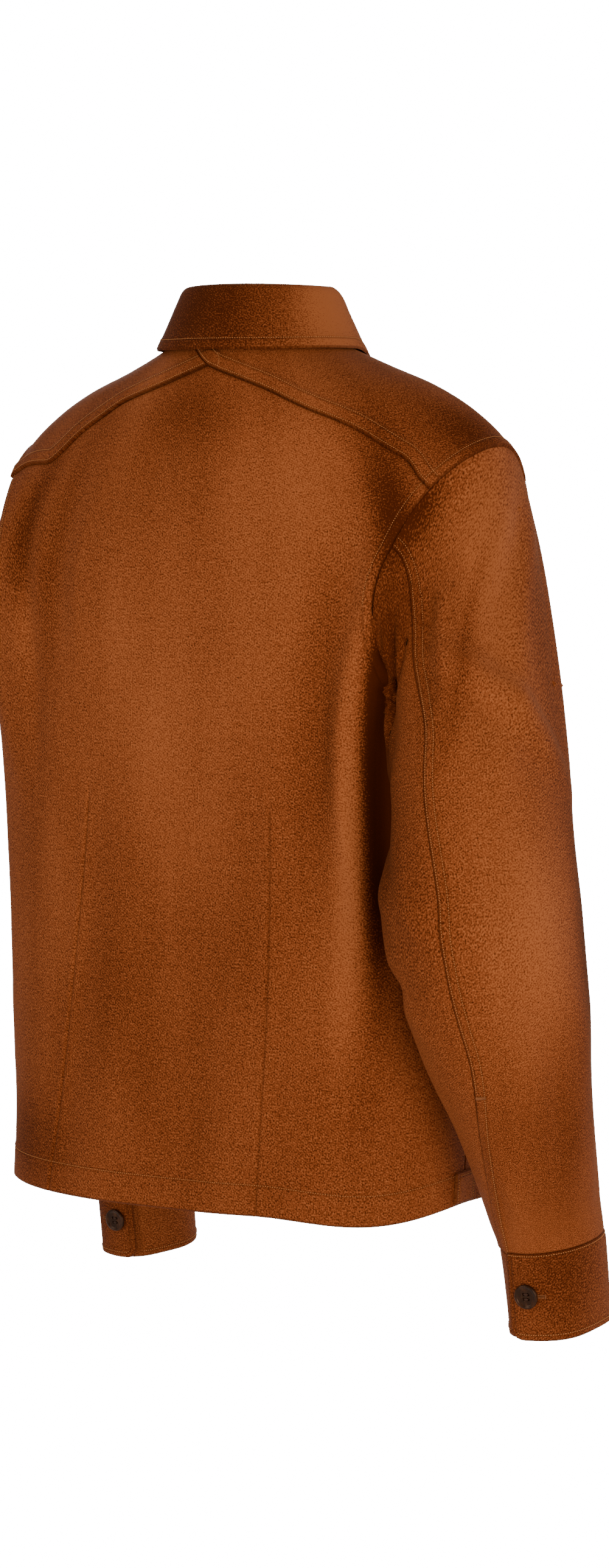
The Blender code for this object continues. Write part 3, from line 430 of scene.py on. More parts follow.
# Points along a line from 0 to 1, closer together for the first and last few millimetres.
def spaced(count, length, steps=(0.0004, 0.001, 0.002, 0.0034, 0.005)):
    near = np.array((0.0,) + tuple(steps)) / length
    return np.concatenate([near, np.linspace(near[-1], 1 - near[-1], count + 2)[1:-1], 1 - near[::-1]])


# The distance of each point to the nearest of a polyline's straight runs, up to 5 cm.
def awayFrom(points, line):
    flat = points.reshape(-1, 3)
    best = np.full(len(flat), farAway)
    start, run = line[:-1], np.diff(line, axis=0)
    some = line[::6]
    reach = farAway + np.linalg.norm(run, axis=-1).max() * 6
    rough = (flat ** 2).sum(-1)[:, None] - 2 * flat @ some.T + (some ** 2).sum(-1)
    close = np.flatnonzero(rough.min(1) < reach ** 2)
    for first in range(0, len(close), 3000):
        here = close[first:first + 3000]
        away = flat[here, None] - start
        share = np.clip((away * run).sum(-1) / (run ** 2).sum(-1), 0, 1)
        best[here] = np.minimum(farAway, np.sqrt(((away - run * share[..., None]) ** 2).sum(-1).min(1)))
    return best.reshape(points.shape[:-1])


def thin(line, most=160):
    step = max(1, len(line) // most)
    kept = line[::step]
    return kept if step == 1 or len(line) % step == 1 else np.concatenate([kept, line[-1:]])


def nearest(points, *lines):
    return np.min([awayFrom(points, thin(line)) for line in lines], axis=0)


# 1 up to `width` from an edge, and smoothly down to 0 over the next `fade`.
def ledge(distance, width, fade=0.003):
    return 1 - eased((distance - width) / fade)


def gridFaces(rows, columns, closed=False):
    i, j = np.meshgrid(np.arange(rows - 1), np.arange(columns if closed else columns - 1), indexing="ij")
    a, b = i * columns + j, i * columns + (j + 1) % columns
    return np.stack([a, b, b + columns, a + columns], axis=-1).reshape(-1, 4)


def linked(name, data):
    made = bpy.data.objects.new(name, data)
    bpy.context.collection.objects.link(made)
    return made


def newMesh(name, points, faces, material):
    mesh = bpy.data.meshes.new(name)
    mesh.from_pydata(points, [], faces)
    mesh.materials.append(material)
    return mesh


def newPiece(name, points, faces, material, slot):
    piece = linked(name, newMesh(name, points.reshape(-1, 3).tolist(), faces, material))
    piece.data.shade_smooth()
    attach(piece, "root")
    return piece


# A wall of cloth from its outer grid: the grid, the same moved in, and a rim, with its edges rounded off.
# On the inside neighbouring pieces meet at their seams. Its fields hold how far each point lies from its
# edges and from up to four sewn rows, and the painted shade and sheen on its nap.
def clothWall(name, nodeName, points, normals, wall, rows, place, slot="wool", rounding=cloth["roundEdge"]):
    shape = points.shape[:2]
    edgeAway = nearest(points, points[0], points[-1], points[:, 0], points[:, -1])
    reach = np.clip(1 - edgeAway / rounding, 0, 1)
    sink = rounding * (1 - np.sqrt(np.clip(1 - reach ** 2, 0, 1)))
    outer = points - normals * sink[..., None]
    inner = points - normals * (np.asarray(wall) - 0.5 * sink)[..., None]
    inner = inner + (points - pulledIn(points)) * cloth["seamMeet"]
    count = shape[0] * shape[1]
    faces = gridFaces(*shape)
    middle = faces[len(faces) // 2]
    corners = outer.reshape(-1, 3)[middle]
    around = np.cross(corners[1] - corners[0], corners[3] - corners[0])
    turned = np.dot(around, normals.reshape(-1, 3)[middle[0]]) < 0
    index = np.arange(count).reshape(shape)
    border = np.concatenate([index[0, :-1], index[:-1, -1], index[-1, :0:-1], index[:0:-1, 0]])
    after = np.roll(border, -1)
    rim = np.stack([border, after, after + count, border + count], axis=-1)
    if turned:
        faces = faces[:, ::-1]
    else:
        rim = rim[:, ::-1]
    allFaces = np.concatenate([faces, faces[:, ::-1] + count, rim])
    piece = newPiece(name, np.stack([outer, inner]), allFaces.tolist(), cloths[slot], slot)
    mesh = piece.data
    mesh.set_sharp_from_angle(angle=math.radians(70))
    flat, napShadeAndSheen = place
    fields = {"edge": edgeAway, "napShadeAndSheen": napShadeAndSheen}
    for number in range(4):
        field = rows[number] if number < len(rows) else np.full(shape, farAway)
        fields["row%d" % number] = np.clip(field, -farAway, farAway)
    for title, values in fields.items():
        values = np.tile(values.ravel(), 2).astype(np.float32)
        mesh.attributes.new(title, "FLOAT", "POINT").data.foreach_set("value", values)
    flat = np.tile(flat.reshape(-1, 2), (2, 1))[allFaces.ravel()]
    mesh.uv_layers.new(name="cloth").data.foreach_set("uv", flat.astype(np.float32).ravel())
    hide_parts(nodeName)
    return piece


# The grid with its border drawn in by a fixed step, so that neighbouring panels leave a fine seam.
def pulledIn(points):
    rows, columns = points.shape[:2]
    row = np.clip(np.arange(rows), 1, rows - 2)
    column = np.clip(np.arange(columns), 1, columns - 2)
    across = points[row[:, None], column[None, :]] - points
    size = np.linalg.norm(across, axis=-1, keepdims=True)
    return points + across / np.where(size > 0, size, 1) * cloth["seamPull"] * (size > 0)


def raised(points, normals, lift):
    return pulledIn(points + normals * lift[..., None])


# Where a field crosses a value, one place for each row or column of the grid, split where it breaks off.
def rowLines(field, points, normals, across=True, fromEnd=False):
    if not across:
        field, points, normals = field.T, points.swapaxes(0, 1), normals.swapaxes(0, 1)
    if fromEnd:
        field, points, normals = field[::-1], points[::-1], normals[::-1]
    crossing = field[:-1] * field[1:] < 0
    found = crossing.any(axis=0)
    i = crossing.argmax(axis=0)
    j = np.arange(field.shape[1])
    share = (field[i, j] / np.where(found, field[i, j] - field[i + 1, j], 1))[:, None]
    place, normal = (values[i, j] * (1 - share) + values[i + 1, j] * share for values in (points, normals))
    runs = [[]]
    for k in np.flatnonzero(found):
        if runs[-1] and (k - runs[-1][-1] > 1 or np.linalg.norm(place[k] - place[runs[-1][-1]]) > 0.02):
            runs.append([])
        runs[-1].append(k)
    return [(place[run], normal[run]) for run in runs if len(run) > 4]


# The same along the two sides of the grid, each found from its own edge.
def sideLines(field, points, normals):
    half = points.shape[1] // 2
    return (rowLines(field[:, :half], points[:, :half], normals[:, :half], across=False)
            + rowLines(field[:, half:], points[:, half:], normals[:, half:], across=False, fromEnd=True))


# Thread seen above the cloth: each stitch is a short spindle along its row, arched and sunk at both ends.
def stitchPoints(middles, runs, normals, length, radius):
    runs = unit(runs)
    sides = unit(np.cross(normals, runs))
    ups = np.cross(runs, sides)
    turns = 2 * np.pi * np.arange(5)[None, :, None] / 5
    rings = []
    for share, height, width in ((-0.5, -0.6, 0), (-0.3, 0.25, 0.9), (0.0, 0.55, 1.0), (0.3, 0.25, 0.9),
                                 (0.5, -0.6, 0)):
        centre = (middles + runs * length * share + ups * radius * height)[:, None]
        around = np.cos(turns) * sides[:, None] + np.sin(turns) * ups[:, None]
        rings.append(centre + radius * width * around if width else centre)
    after = [(a, (a + 1) % 5) for a in range(5)]
    bands = [(first + a, first + b, first + 5 + b, first + 5 + a) for first in (1, 6) for a, b in after]
    ends = [(0, 1 + b, 1 + a) for a, b in after], [(16, 11 + a, 11 + b) for a, b in after]
    return np.concatenate(rings, axis=1), ends[0] + bands + ends[1]


def readAt(where, known, values):
    return np.stack([np.interp(where, known, values[:, k]) for k in range(3)], axis=-1)


def sewRows(name, lines, radius=sewing["radius"]):
    pitch, found = sewing["pitch"], []
    for place, normal in lines:
        walked = np.concatenate([[0], np.cumsum(np.linalg.norm(np.diff(place, axis=0), axis=-1))])
        at = np.arange(pitch, walked[-1] - pitch / 2, pitch)
        if len(at) > 1:
            run = readAt(at + pitch / 2, walked, place) - readAt(at - pitch / 2, walked, place)
            found.append((readAt(at, walked, place), run, readAt(at, walked, normal)))
    middles, runs, ups = (np.concatenate(parts) for parts in zip(*found))
    return stitches(name, middles, runs, ups, thread, sewing["length"], radius)


def stitches(name, middles, runs, ups, material, length, radius):
    points, faces = stitchPoints(middles, runs, ups, length, radius)
    allFaces = [tuple(i + 17 * k for i in face) for k in range(len(points)) for face in faces]
    return newPiece(name, points, allFaces, material, "wool")


def newGroup(name, inputs, outputs):
    group = bpy.data.node_groups.new(name, "ShaderNodeTree")
    for inOut, kinds in (("INPUT", inputs), ("OUTPUT", outputs)):
        for title, kind in kinds.items():
            group.interface.new_socket(name=title, in_out=inOut, socket_type="NodeSocket" + kind)
    return group, node(group, "NodeGroupInput"), node(group, "NodeGroupOutput")


def node(tree, kind, **settings):
    made = tree.nodes.new(kind)
    for name, value in settings.items():
        setattr(made, name, value)
    return made


# Sets a node's inputs: a number or a colour as its value, anything else as a link.
def fill(tree, made, inputs):
    for name, value in inputs.items():
        if isinstance(value, (int, float, tuple)):
            made.inputs[name].default_value = value
        elif value is not None:
            tree.links.new(value, made.inputs[name])
    return made


def maths(tree, operation, first, second=None, clamp=False):
    made = node(tree, "ShaderNodeMath", operation=operation, use_clamp=clamp)
    return fill(tree, made, {0: first, 1: second}).outputs[0]


# The sum of some values, each times its weight.
def weighed(tree, *pairs):
    total = None
    for value, weight in pairs:
        part = value if weight == 1 else maths(tree, "MULTIPLY", value, weight)
        total = part if total is None else maths(tree, "ADD", total, part)
    return total


def mixColour(tree, share, first, second):
    made = node(tree, "ShaderNodeMix", data_type="RGBA")
    return fill(tree, made, {0: share, 6: first, 7: second}).outputs[2]


def noise(tree, vector, name, stretch, detail, roughness=0.5):
    mapping = fill(tree, node(tree, "ShaderNodeMapping", label=name), {"Vector": vector, "Scale": stretch})
    made = node(tree, "ShaderNodeTexNoise", label=name)
    return fill(tree, made, {"Vector": mapping.outputs[0], "Scale": 1.0, "Detail": detail,
                             "Roughness": roughness}).outputs["Fac"]


def ramp(tree, value, low, high, toLow=0.0, toHigh=1.0):
    made = node(tree, "ShaderNodeMapRange", interpolation_type="SMOOTHSTEP")
    return fill(tree, made, {"Value": value, "From Min": low, "From Max": high, "To Min": toLow,
                             "To Max": toHigh}).outputs["Result"]


def bumpFrom(tree, height, strength, distance, under=None):
    return fill(tree, node(tree, "ShaderNodeBump"), {"Height": height, "Strength": strength,
                                                     "Distance": distance, "Normal": under}).outputs[0]


napNoises = {  # stretch across and down the cloth, detail, roughness
    "streaks": ((19, 3.6, 1), 3, 0.55), "patches": ((7.5, 5.0, 1), 2, 0.5), "grain": ((900, 780, 1), 2, 0.6),
    "clumps": ((210, 150, 1), 2, 0.6), "fibres": ((1500, 420, 1), 2, 0.5)}
napSwings = {"streaks": 0.9, "patches": 0.9, "grain": 5.4, "clumps": 0.8, "fibres": 1.4, "twill": 0.30}


# Brushed nap: broad soft patches and streaks where the pile lies over, a fine mottled grain,
# short fibres combed down the cloth, and a faint diagonal twill under them. The given field of painted
# shade and sheen adds to these, and the sum pulls the colour towards the shaded or the bright copy.
def makeNapGroup():
    group, source, out = newGroup(
        "brushedNap", {"Vector": "Vector", "Colour": "Color", "Shaded Colour": "Color", "Bright Colour": "Color",
                       "Nap Shade And Sheen": "Float"}, {"Colour": "Color", "Roughness": "Float", "Height": "Float"})
    given = source.outputs
    parts = {name: noise(group, given["Vector"], name, *values) for name, values in napNoises.items()}
    turned = fill(group, node(group, "ShaderNodeMapping", label="twill line"),
                  {"Vector": given["Vector"], "Rotation": (0, 0, math.radians(32))})
    twill = node(group, "ShaderNodeTexWave", wave_type="BANDS", bands_direction="Y", label="twill")
    parts["twill"] = fill(group, twill, {"Vector": turned.outputs[0], "Scale": 190, "Distortion": 1.2, "Detail": 1,
                                         "Detail Scale": 2}).outputs["Fac"]

    def swung(*names):
        return weighed(group, *[(maths(group, "SUBTRACT", parts[name], 0.5), napSwings[name]) for name in names])
    napShadeAndSheen = weighed(group, (swung("streaks", "patches"), 1), (given["Nap Shade And Sheen"], 1))
    tone = weighed(group, (napShadeAndSheen, 1), (swung("grain", "clumps", "fibres", "twill"), 1))
    darker, brighter = (maths(group, "MULTIPLY", tone, sign, clamp=True) for sign in (-1.0, 1.0))
    colour = mixColour(group, darker, given["Colour"], given["Shaded Colour"])
    fill(group, out, {"Colour": mixColour(group, brighter, colour, given["Bright Colour"]),
                      "Roughness": maths(group, "ADD", maths(group, "MULTIPLY", napShadeAndSheen, -0.08), 0.70, clamp=True),
                      "Height": weighed(group, (parts["grain"], 0.5), (parts["fibres"], 0.3),
                                        (parts["twill"], 0.12))})
    return group


# Sewn rows: a narrow groove, a bell of the distance to each of up to four rows, and small puckers
# beside it that come and go along the row.
def makeRowsGroup():
    titles = ["Row %d" % number for number in range(4)]
    group, source, out = newGroup("sewnRows", {"Vector": "Vector", **{title: "Float" for title in titles}},
                                  {"Groove": "Float", "Pucker": "Float"})

    def bells(width):
        highest = None
        for title in titles:
            away = maths(group, "DIVIDE", source.outputs[title], width)
            bell = maths(group, "EXPONENT", maths(group, "MULTIPLY", maths(group, "MULTIPLY", away, away), -1.0))
            highest = bell if highest is None else maths(group, "MAXIMUM", highest, bell)
        return highest
    wave = noise(group, source.outputs["Vector"], "puckers", (95, 95, 1), 1)
    fill(group, out, {"Groove": bells(sewing["grooveWidth"]),
                      "Pucker": maths(group, "MULTIPLY", bells(sewing["puckerWidth"]), wave)})
    return group


napGroup, rowsGroup = makeNapGroup(), makeRowsGroup()
# Each wool has its own colour, a shaded copy and a bright copy: painted shade and painted light with sheen. The
# nap's random grain and its painted shade and sheen pull the colour towards them.
finishes = {
    "brushedWool": {"colour": (0.207, 0.0450, 0.0112, 1), "shaded": (0.060, 0.0090, 0.0012, 1),
                    "bright": (0.362, 0.1000, 0.0290, 1)},
    "doubledWool": {"colour": (0.187, 0.0402, 0.0102, 1), "shaded": (0.054, 0.0080, 0.0011, 1),
                    "bright": (0.327, 0.0895, 0.0258, 1)}}


def newMaterial(name, shown):
    material = bpy.data.materials.new(name)
    material.use_nodes = True
    material.diffuse_color = shown
    return material, material.node_tree, material.node_tree.nodes["Principled BSDF"]


def woolMaterial(name):
    finish = finishes[name]
    material, tree, shader = newMaterial(name, finish["colour"])

    def field(title):
        return node(tree, "ShaderNodeAttribute", attribute_name=title).outputs["Fac"]
    uv = node(tree, "ShaderNodeUVMap", uv_map="cloth").outputs["UV"]
    nap = fill(tree, node(tree, "ShaderNodeGroup", node_tree=napGroup),
               {"Vector": uv, "Colour": finish["colour"], "Shaded Colour": finish["shaded"],
                "Bright Colour": finish["bright"], "Nap Shade And Sheen": field("napShadeAndSheen")}).outputs
    rows = fill(tree, node(tree, "ShaderNodeGroup", node_tree=rowsGroup),
                {"Vector": uv, **{"Row %d" % number: field("row%d" % number) for number in range(4)}}).outputs
    # Painted shade: in the sewn grooves and along each piece's edges, where the pieces meet at their seams, the
    # colour is drawn towards the shaded copy.
    atEdge = ramp(tree, field("edge"), 0.0002, 0.0012, 1.0, 0.0)
    shade = maths(tree, "MAXIMUM", maths(tree, "MULTIPLY", rows["Groove"], 0.35),
                  maths(tree, "MULTIPLY", atEdge, 0.55))
    napBump = bumpFrom(tree, nap["Height"], 0.35, 0.0005)
    rowHeight = weighed(tree, (rows["Groove"], -0.75), (rows["Pucker"], 1.4))
    fill(tree, shader, {"Base Color": mixColour(tree, shade, nap["Colour"], finish["shaded"]),
                        "Roughness": nap["Roughness"], "Normal": bumpFrom(tree, rowHeight, 1.0, 0.0007, napBump),
                        "Specular IOR Level": 0.12, "Specular Tint": (1.0, 0.55, 0.22, 1), "Sheen Weight": 0.05,
                        "Sheen Roughness": 0.4, "Sheen Tint": (1.0, 0.42, 0.12, 1)})
    return material


def threadMaterial(name, colour):
    material, tree, shader = newMaterial(name, colour)
    place = node(tree, "ShaderNodeTexCoord").outputs["Object"]
    tone = noise(tree, place, "twisted thread", (900, 900, 900), 1)
    darker = tuple(0.65 * part for part in colour[:3]) + (1,)
    fill(tree, shader, {"Base Color": mixColour(tree, tone, darker, colour),
                        "Roughness": ramp(tree, tone, 0.3, 0.7, 0.45, 0.65), "Specular IOR Level": 0.2})
    return material


# Dark horn: brown clouds and a few paler streaks in a near-black polished disc.
def hornMaterial():
    material, tree, shader = newMaterial("darkHorn", (0.02, 0.008, 0.004, 1))
    place = node(tree, "ShaderNodeTexCoord").outputs["Object"]
    clouds = noise(tree, place, "horn clouds", (190, 190, 90), 4, 0.6)
    streaks = noise(tree, place, "horn streaks", (520, 520, 80), 3, 0.55)
    colour = mixColour(tree, ramp(tree, clouds, 0.42, 0.68), (0.016, 0.0052, 0.0020, 1), (0.052, 0.017, 0.006, 1))
    colour = mixColour(tree, ramp(tree, streaks, 0.60, 0.78, 0.0, 0.5), colour, (0.085, 0.034, 0.013, 1))
    fill(tree, shader, {"Base Color": colour, "Roughness": ramp(tree, streaks, 0.3, 0.8, 0.22, 0.36),
                        "Normal": bumpFrom(tree, streaks, 0.15, 0.0003), "Specular IOR Level": 0.3,
                        "Specular Tint": (1.0, 0.62, 0.42, 1)})
    return material


cloths = {"wool": woolMaterial("brushedWool"), "wool_double": woolMaterial("doubledWool")}
thread = threadMaterial("topstitchThread", (0.62, 0.225, 0.062, 1))
holeThread = threadMaterial("buttonholeThread", (0.300, 0.092, 0.024, 1))
darkThread = threadMaterial("buttonThread", (0.060, 0.022, 0.010, 1))
horn = hornMaterial()
print("materials made")


# An armhole from one of its points to another, and the side seam from the underarm to the hem.
def armholeRun(sign, first, last, steps):
    return armholeAt(sign, 2 * np.pi * np.linspace(first, last, steps + 1) / armhole["points"])


def sideRun(steps):
    down = spaced(steps, body["hemDrop"] - body["underarmDrop"], (0.0006, 0.0016, 0.003, 0.005))[1:]
    down[-1] = 1.0
    return (armhole["side"] + (body["sideSeam"] - armhole["side"]) * down,
            body["underarmDrop"] + (body["hemDrop"] - body["underarmDrop"]) * down)


def joined(*runs):
    return (np.concatenate(parts) for parts in zip(*runs))


# The back's columns by count from the centre, with one on each dart, and its rows down both edges.
def backGrid(rowSteps, hemSteps):
    inner = spaced(28, 0.078, (0.0007, 0.0015, 0.0026, 0.0042)) * dart["column"]
    outer = dart["column"] + spaced(48, 0.16, (0.0006, 0.0014, 0.0026, 0.0042)) * (
        dart["columns"] - dart["column"])
    counts = np.concatenate([inner[5:], outer[1:]])
    counts[0] = 0
    knots = [0, dart["column"], dart["columns"]]
    sides, drops = [], []
    for sign, label in ((-1, "right"), (1, "left")):
        edgeSide, edgeDrop = joined(armholeRun(sign, armhole["yokeJoin"], armhole["points"] / 2, rowSteps),
                                    sideRun(hemSteps))
        length = body["hemDrop"] - edgeDrop[0]
        down, tip = (edgeDrop - edgeDrop[0]) / length, (dart["tipDrop"] - edgeDrop[0]) / length
        dartSide = np.interp(down, [0, tip, 1], [edgeSide[0] * dart["column"] / dart["columns"], *dart[label]])
        half = np.array([np.interp(counts, knots, [0, at, edge]) for edge, at in zip(edgeSide, dartSide)])
        top = smoothCurve(yokeEdges[sign][:, 0], yokeEdges[sign][:, 1], counts / dart["columns"])
        halfDrop = top + down[:, None] * (body["hemDrop"] - top)
        sides.append(-half[:, :0:-1] if sign < 0 else half)
        drops.append(halfDrop[:, :0:-1] if sign < 0 else halfDrop)
    column = int(np.argmin(np.abs(counts - dart["column"])))
    middle = len(counts) - 1
    return np.concatenate(sides, 1), np.concatenate(drops, 1), (middle - column, middle + column), rowSteps


# The back: armhole to armhole, with a pinched groove down each dart and its edges raised where they
# are sewn to the yokes and sleeves.
def makeBack():
    side, drop, dartColumns, armholeRow = backGrid(66, 96)
    points, normals = bodyCloth(side, drop)
    dartAway = nearest(points, *[points[drop[:, column] > dart["tipDrop"], column] for column in dartColumns])
    below = np.clip((drop - dart["tipDrop"]) / dart["fade"], 0, 1)
    armAway = nearest(points, points[:armholeRow + 1, 0], points[:armholeRow + 1, -1])
    hemAway, yokeAway = nearest(points, points[-1]), nearest(points, points[0])
    lift = (relief["armhole"] * ledge(armAway, sewing["armholeRow"])
            + relief["hem"] * ledge(hemAway, sewing["hemRow"])
            - dart["groove"] * below * np.exp(-(dartAway / dart["grooveWidth"]) ** 2)
            + relief["dartSides"] * below * ledge(dartAway, 0.004, 0.008)
            + relief["underYoke"] * ledge(yokeAway, 0.0006, 0.002))
    grid = raised(points, normals, lift), normals
    rows = [armAway - sewing["armholeRow"], hemAway - sewing["hemRow"], dartAway + 0.0004 + 0.04 * (1 - below)]
    piece = clothWall("backPanel", "back", *grid, cloth["wall"], rows, bodyPlace(side, drop))
    sewRows("backStitches", sideLines(rows[0], *grid)
                                + rowLines(rows[1], *grid, fromEnd=True))
    return piece


# A yoke's columns by the count of the back's points, and its rows from the neck down to its lower edge.
def yokeGrid(sign, seamSteps, armholeSteps, rowSteps):
    counts = spaced(seamSteps, 0.22, (0.0008, 0.002, 0.004)) * dart["columns"]
    counts[np.argmin(np.abs(counts - dart["column"]))] = dart["column"]
    joinSide = armholeRun(sign, armhole["yokeJoin"], armhole["yokeJoin"], 0)[0][0]
    backSide = counts * joinSide / dart["columns"]
    backDrop = smoothCurve(yokeEdges[sign][:, 0], yokeEdges[sign][:, 1], counts / dart["columns"])
    topSide, topDrop = armholeRun(sign, armhole["yokeJoin"], -armhole["frontJoin"], armholeSteps)
    lowSide = np.concatenate([backSide, topSide[1:]])
    lowDrop = np.concatenate([backDrop, topDrop[1:]])
    down = spaced(rowSteps, 0.13, (0.0005, 0.0012, 0.0022, 0.0036, 0.0054))[:, None]
    lean = np.concatenate([np.clip(1 - counts / dart["column"], 0, 1), np.zeros(armholeSteps)])
    return lowSide, down, lowDrop, lean, len(counts) - 1


# A yoke: neck to the crossed seam at the back, over the shoulder to the front seam. Its lower edge
# laps the back with two rows of stitches, and its armhole edge stands over the sleeve.
def makeYoke(label, sign):
    lowSide, down, lowDrop, lean, corner = yokeGrid(sign, 84, 44, 58)
    side = sign * lowSide + body["neckLap"] * (1 - down) * lean
    drop = down * lowDrop
    points, normals = bodyCloth(side, drop)
    seamAway, armAway = nearest(points, points[-1, :corner + 1]), nearest(points, points[-1, corner:])
    centreAway, frontAway = nearest(points, points[:, 0]), nearest(points, points[:, -1])
    lift = (cloth["yokeLift"] + relief["yokeSeam"] * ledge(seamAway, sewing["wideRow"])
            + relief["yokeArmhole"] * ledge(armAway, sewing["armholeRow"]))
    lapAway = seamAway
    if label == "right":
        lift = lift + relief["centreBack"] * ledge(centreAway, sewing["wideRow"])
        lapAway = np.minimum(seamAway, centreAway)
    rows = [lapAway - sewing["edgeRow"], lapAway - sewing["wideRow"], armAway - sewing["armholeRow"],
            frontAway - sewing["edgeRow"]]
    grid = raised(points, normals, lift), normals
    piece = clothWall("yoke" + label.capitalize(), "yoke_" + label, *grid, cloth["wall"] + lift, rows,
                      bodyPlace(side, drop))
    lines = [line for row in rows[:3] for line in rowLines(row, *grid, fromEnd=True)]
    lines += rowLines(rows[3], *grid, across=False, fromEnd=True)
    if label == "right":
        for row in ("edgeRow", "wideRow"):
            lines += rowLines(centreAway - sewing[row], *grid, across=False)
    sewRows("yokeStitches" + label.capitalize(), lines)
    return piece


# A front: yoke seam to hem, armhole to past the centre. The left one rises over the right.
def makeFront(label, sign):
    join, yokeRows, armRows = -armhole["frontJoin"], 40, 60
    seamSide, seamDrop = armholeRun(sign, join, join, 0)
    yokeRun = np.full(yokeRows + 1, seamSide[0]), np.linspace(0, 1, yokeRows + 1) * seamDrop[0]
    armRun = tuple(part[1:] for part in armholeRun(sign, join, -armhole["points"] / 2, armRows))
    edgeSide, edgeDrop = joined(yokeRun, armRun, sideRun(84))
    across = spaced(64, 0.20, (0.0005, 0.0012, 0.0024, 0.004))
    side = edgeSide[:, None] + across * (1 + body["frontLap"] - edgeSide[:, None])
    drop = np.broadcast_to(edgeDrop[:, None], side.shape)
    points, normals = bodyCloth(sign * side, drop)
    armAway = nearest(points, points[yokeRows:yokeRows + armRows + 1, 0])
    hemAway, edgeAway = nearest(points, points[-1]), nearest(points, points[:, -1])
    lap = eased((side - body["lapStart"]) / (body["lapFull"] - body["lapStart"])) if sign > 0 else 0
    lift = (lapRise * lap + relief["armhole"] * ledge(armAway, sewing["armholeRow"])
            + relief["hem"] * ledge(hemAway, sewing["hemRow"])
            + relief["frontEdge"] * ledge(edgeAway, sewing["armholeRow"]))
    grid = raised(points, normals, lift), normals
    rows = [armAway - sewing["armholeRow"], hemAway - sewing["hemRow"], edgeAway - sewing["armholeRow"]]
    piece = clothWall("front" + label.capitalize(), "front_" + label, *grid, cloth["wall"], rows,
                      bodyPlace(sign * side, drop))
    lines = rowLines(rows[0], *grid, across=False) + rowLines(rows[1], *grid, fromEnd=True)
    lines += rowLines(rows[2], *grid, across=False, fromEnd=True)
    sewRows("frontStitches" + label.capitalize(), lines)
    return piece


def makeHemTab(label, sign):
    steps = (0.0004, 0.0010, 0.002)
    across = (spaced(14, 0.024, steps) * 2 - 1) * hemTab["halfSide"]
    down = hemTab["topDrop"] + spaced(12, 0.023, steps) * (body["hemDrop"] - hemTab["hemMargin"]
                                                           - hemTab["topDrop"])
    side, drop = np.meshgrid(body["sideSeam"] + across, down)
    points, normals = bodyCloth(sign * side, drop)
    grid = pulledIn(points + normals * (hemTab["wall"] + hemTab["gap"])), normals
    row = nearest(grid[0], grid[0][0], grid[0][:, 0], grid[0][:, -1]) - hemTab["row"]
    # Painted light: the tab's nap is brightened all over by the hem tab's own value.
    flat, napShadeAndSheen = bodyPlace(sign * side, drop, hemTab["shift"])
    piece = clothWall("hemTab" + label.capitalize(), "hem_tab_" + label, *grid, hemTab["wall"], [row],
                      (flat, napShadeAndSheen + hemTab["napShadeAndSheen"]), "wool_double", hemTab["roundEdge"])
    sewRows("hemTabStitches" + label.capitalize(),
                               rowLines(row, *grid) + sideLines(row, *grid), sewing["thickRadius"])
    return piece


print("body panels ready")


# A tube round the arm's middle line: half across times the sine, half deep times the cosine of the turn.
def armTube(label, sign, turn, along):
    at, ahead, behind = (columnsAt(arm[label], arm["columns"], along + step) for step in (0, 0.01, -0.01))
    middle = np.stack([sign * at["out"], at["back"], at["z"]], axis=-1)
    run = unit(np.stack([sign * (ahead["out"] - behind["out"]), ahead["back"] - behind["back"],
                         ahead["z"] - behind["z"]], axis=-1))
    out = squareTo(run, np.array([sign, 0.0, 0.0]))
    back = np.cross(run, out) * -sign
    return (middle + out * (at["halfAcross"] * np.sin(turn))[..., None]
            + back * (at["halfDeep"] * np.cos(turn))[..., None])


def seamTurn(label, along):
    return np.radians(smoothCurve(arm[label][:, 0], arm[label][:, -1], along))


# Points inside the body's rings, a little enlarged, are pushed out of them below the underarm.
def clearOfBody(points, along):
    ring = columnsAt(body["rings"][:, [6, 0]][::-1], ("z", "drop"), points[..., 2])
    ring = columnsAt(body["rings"], body["columns"], ring["drop"])
    x, y = points[..., 0], points[..., 1] - ring["sideY"]
    reach = np.where(y > 0, ring["backY"], -ring["frontY"]) + arm["clearance"]
    square = ring["square"]
    level = ((np.abs(x) / (ring["halfWidth"] + arm["clearance"])) ** square
             + (np.abs(y) / reach) ** square) ** (1 / square)
    push = (level ** 24 + 1) ** (1 / 24) / level
    weight = (np.clip((arm["clearFrom"] - points[..., 2]) / arm["clearFade"], 0, 1)
              * np.clip(along / arm["clearStart"], 0, 1))
    push = 1 + (push - 1) * eased(weight)
    return np.stack([x * push, y * push + ring["sideY"], points[..., 2]], axis=-1)


def holeTurn(on):
    return 2 * np.pi * armhole["seamJoin"] / armhole["points"] - on


def fromSeam(on):
    return (np.degrees(on) + 90) % 360 - 90


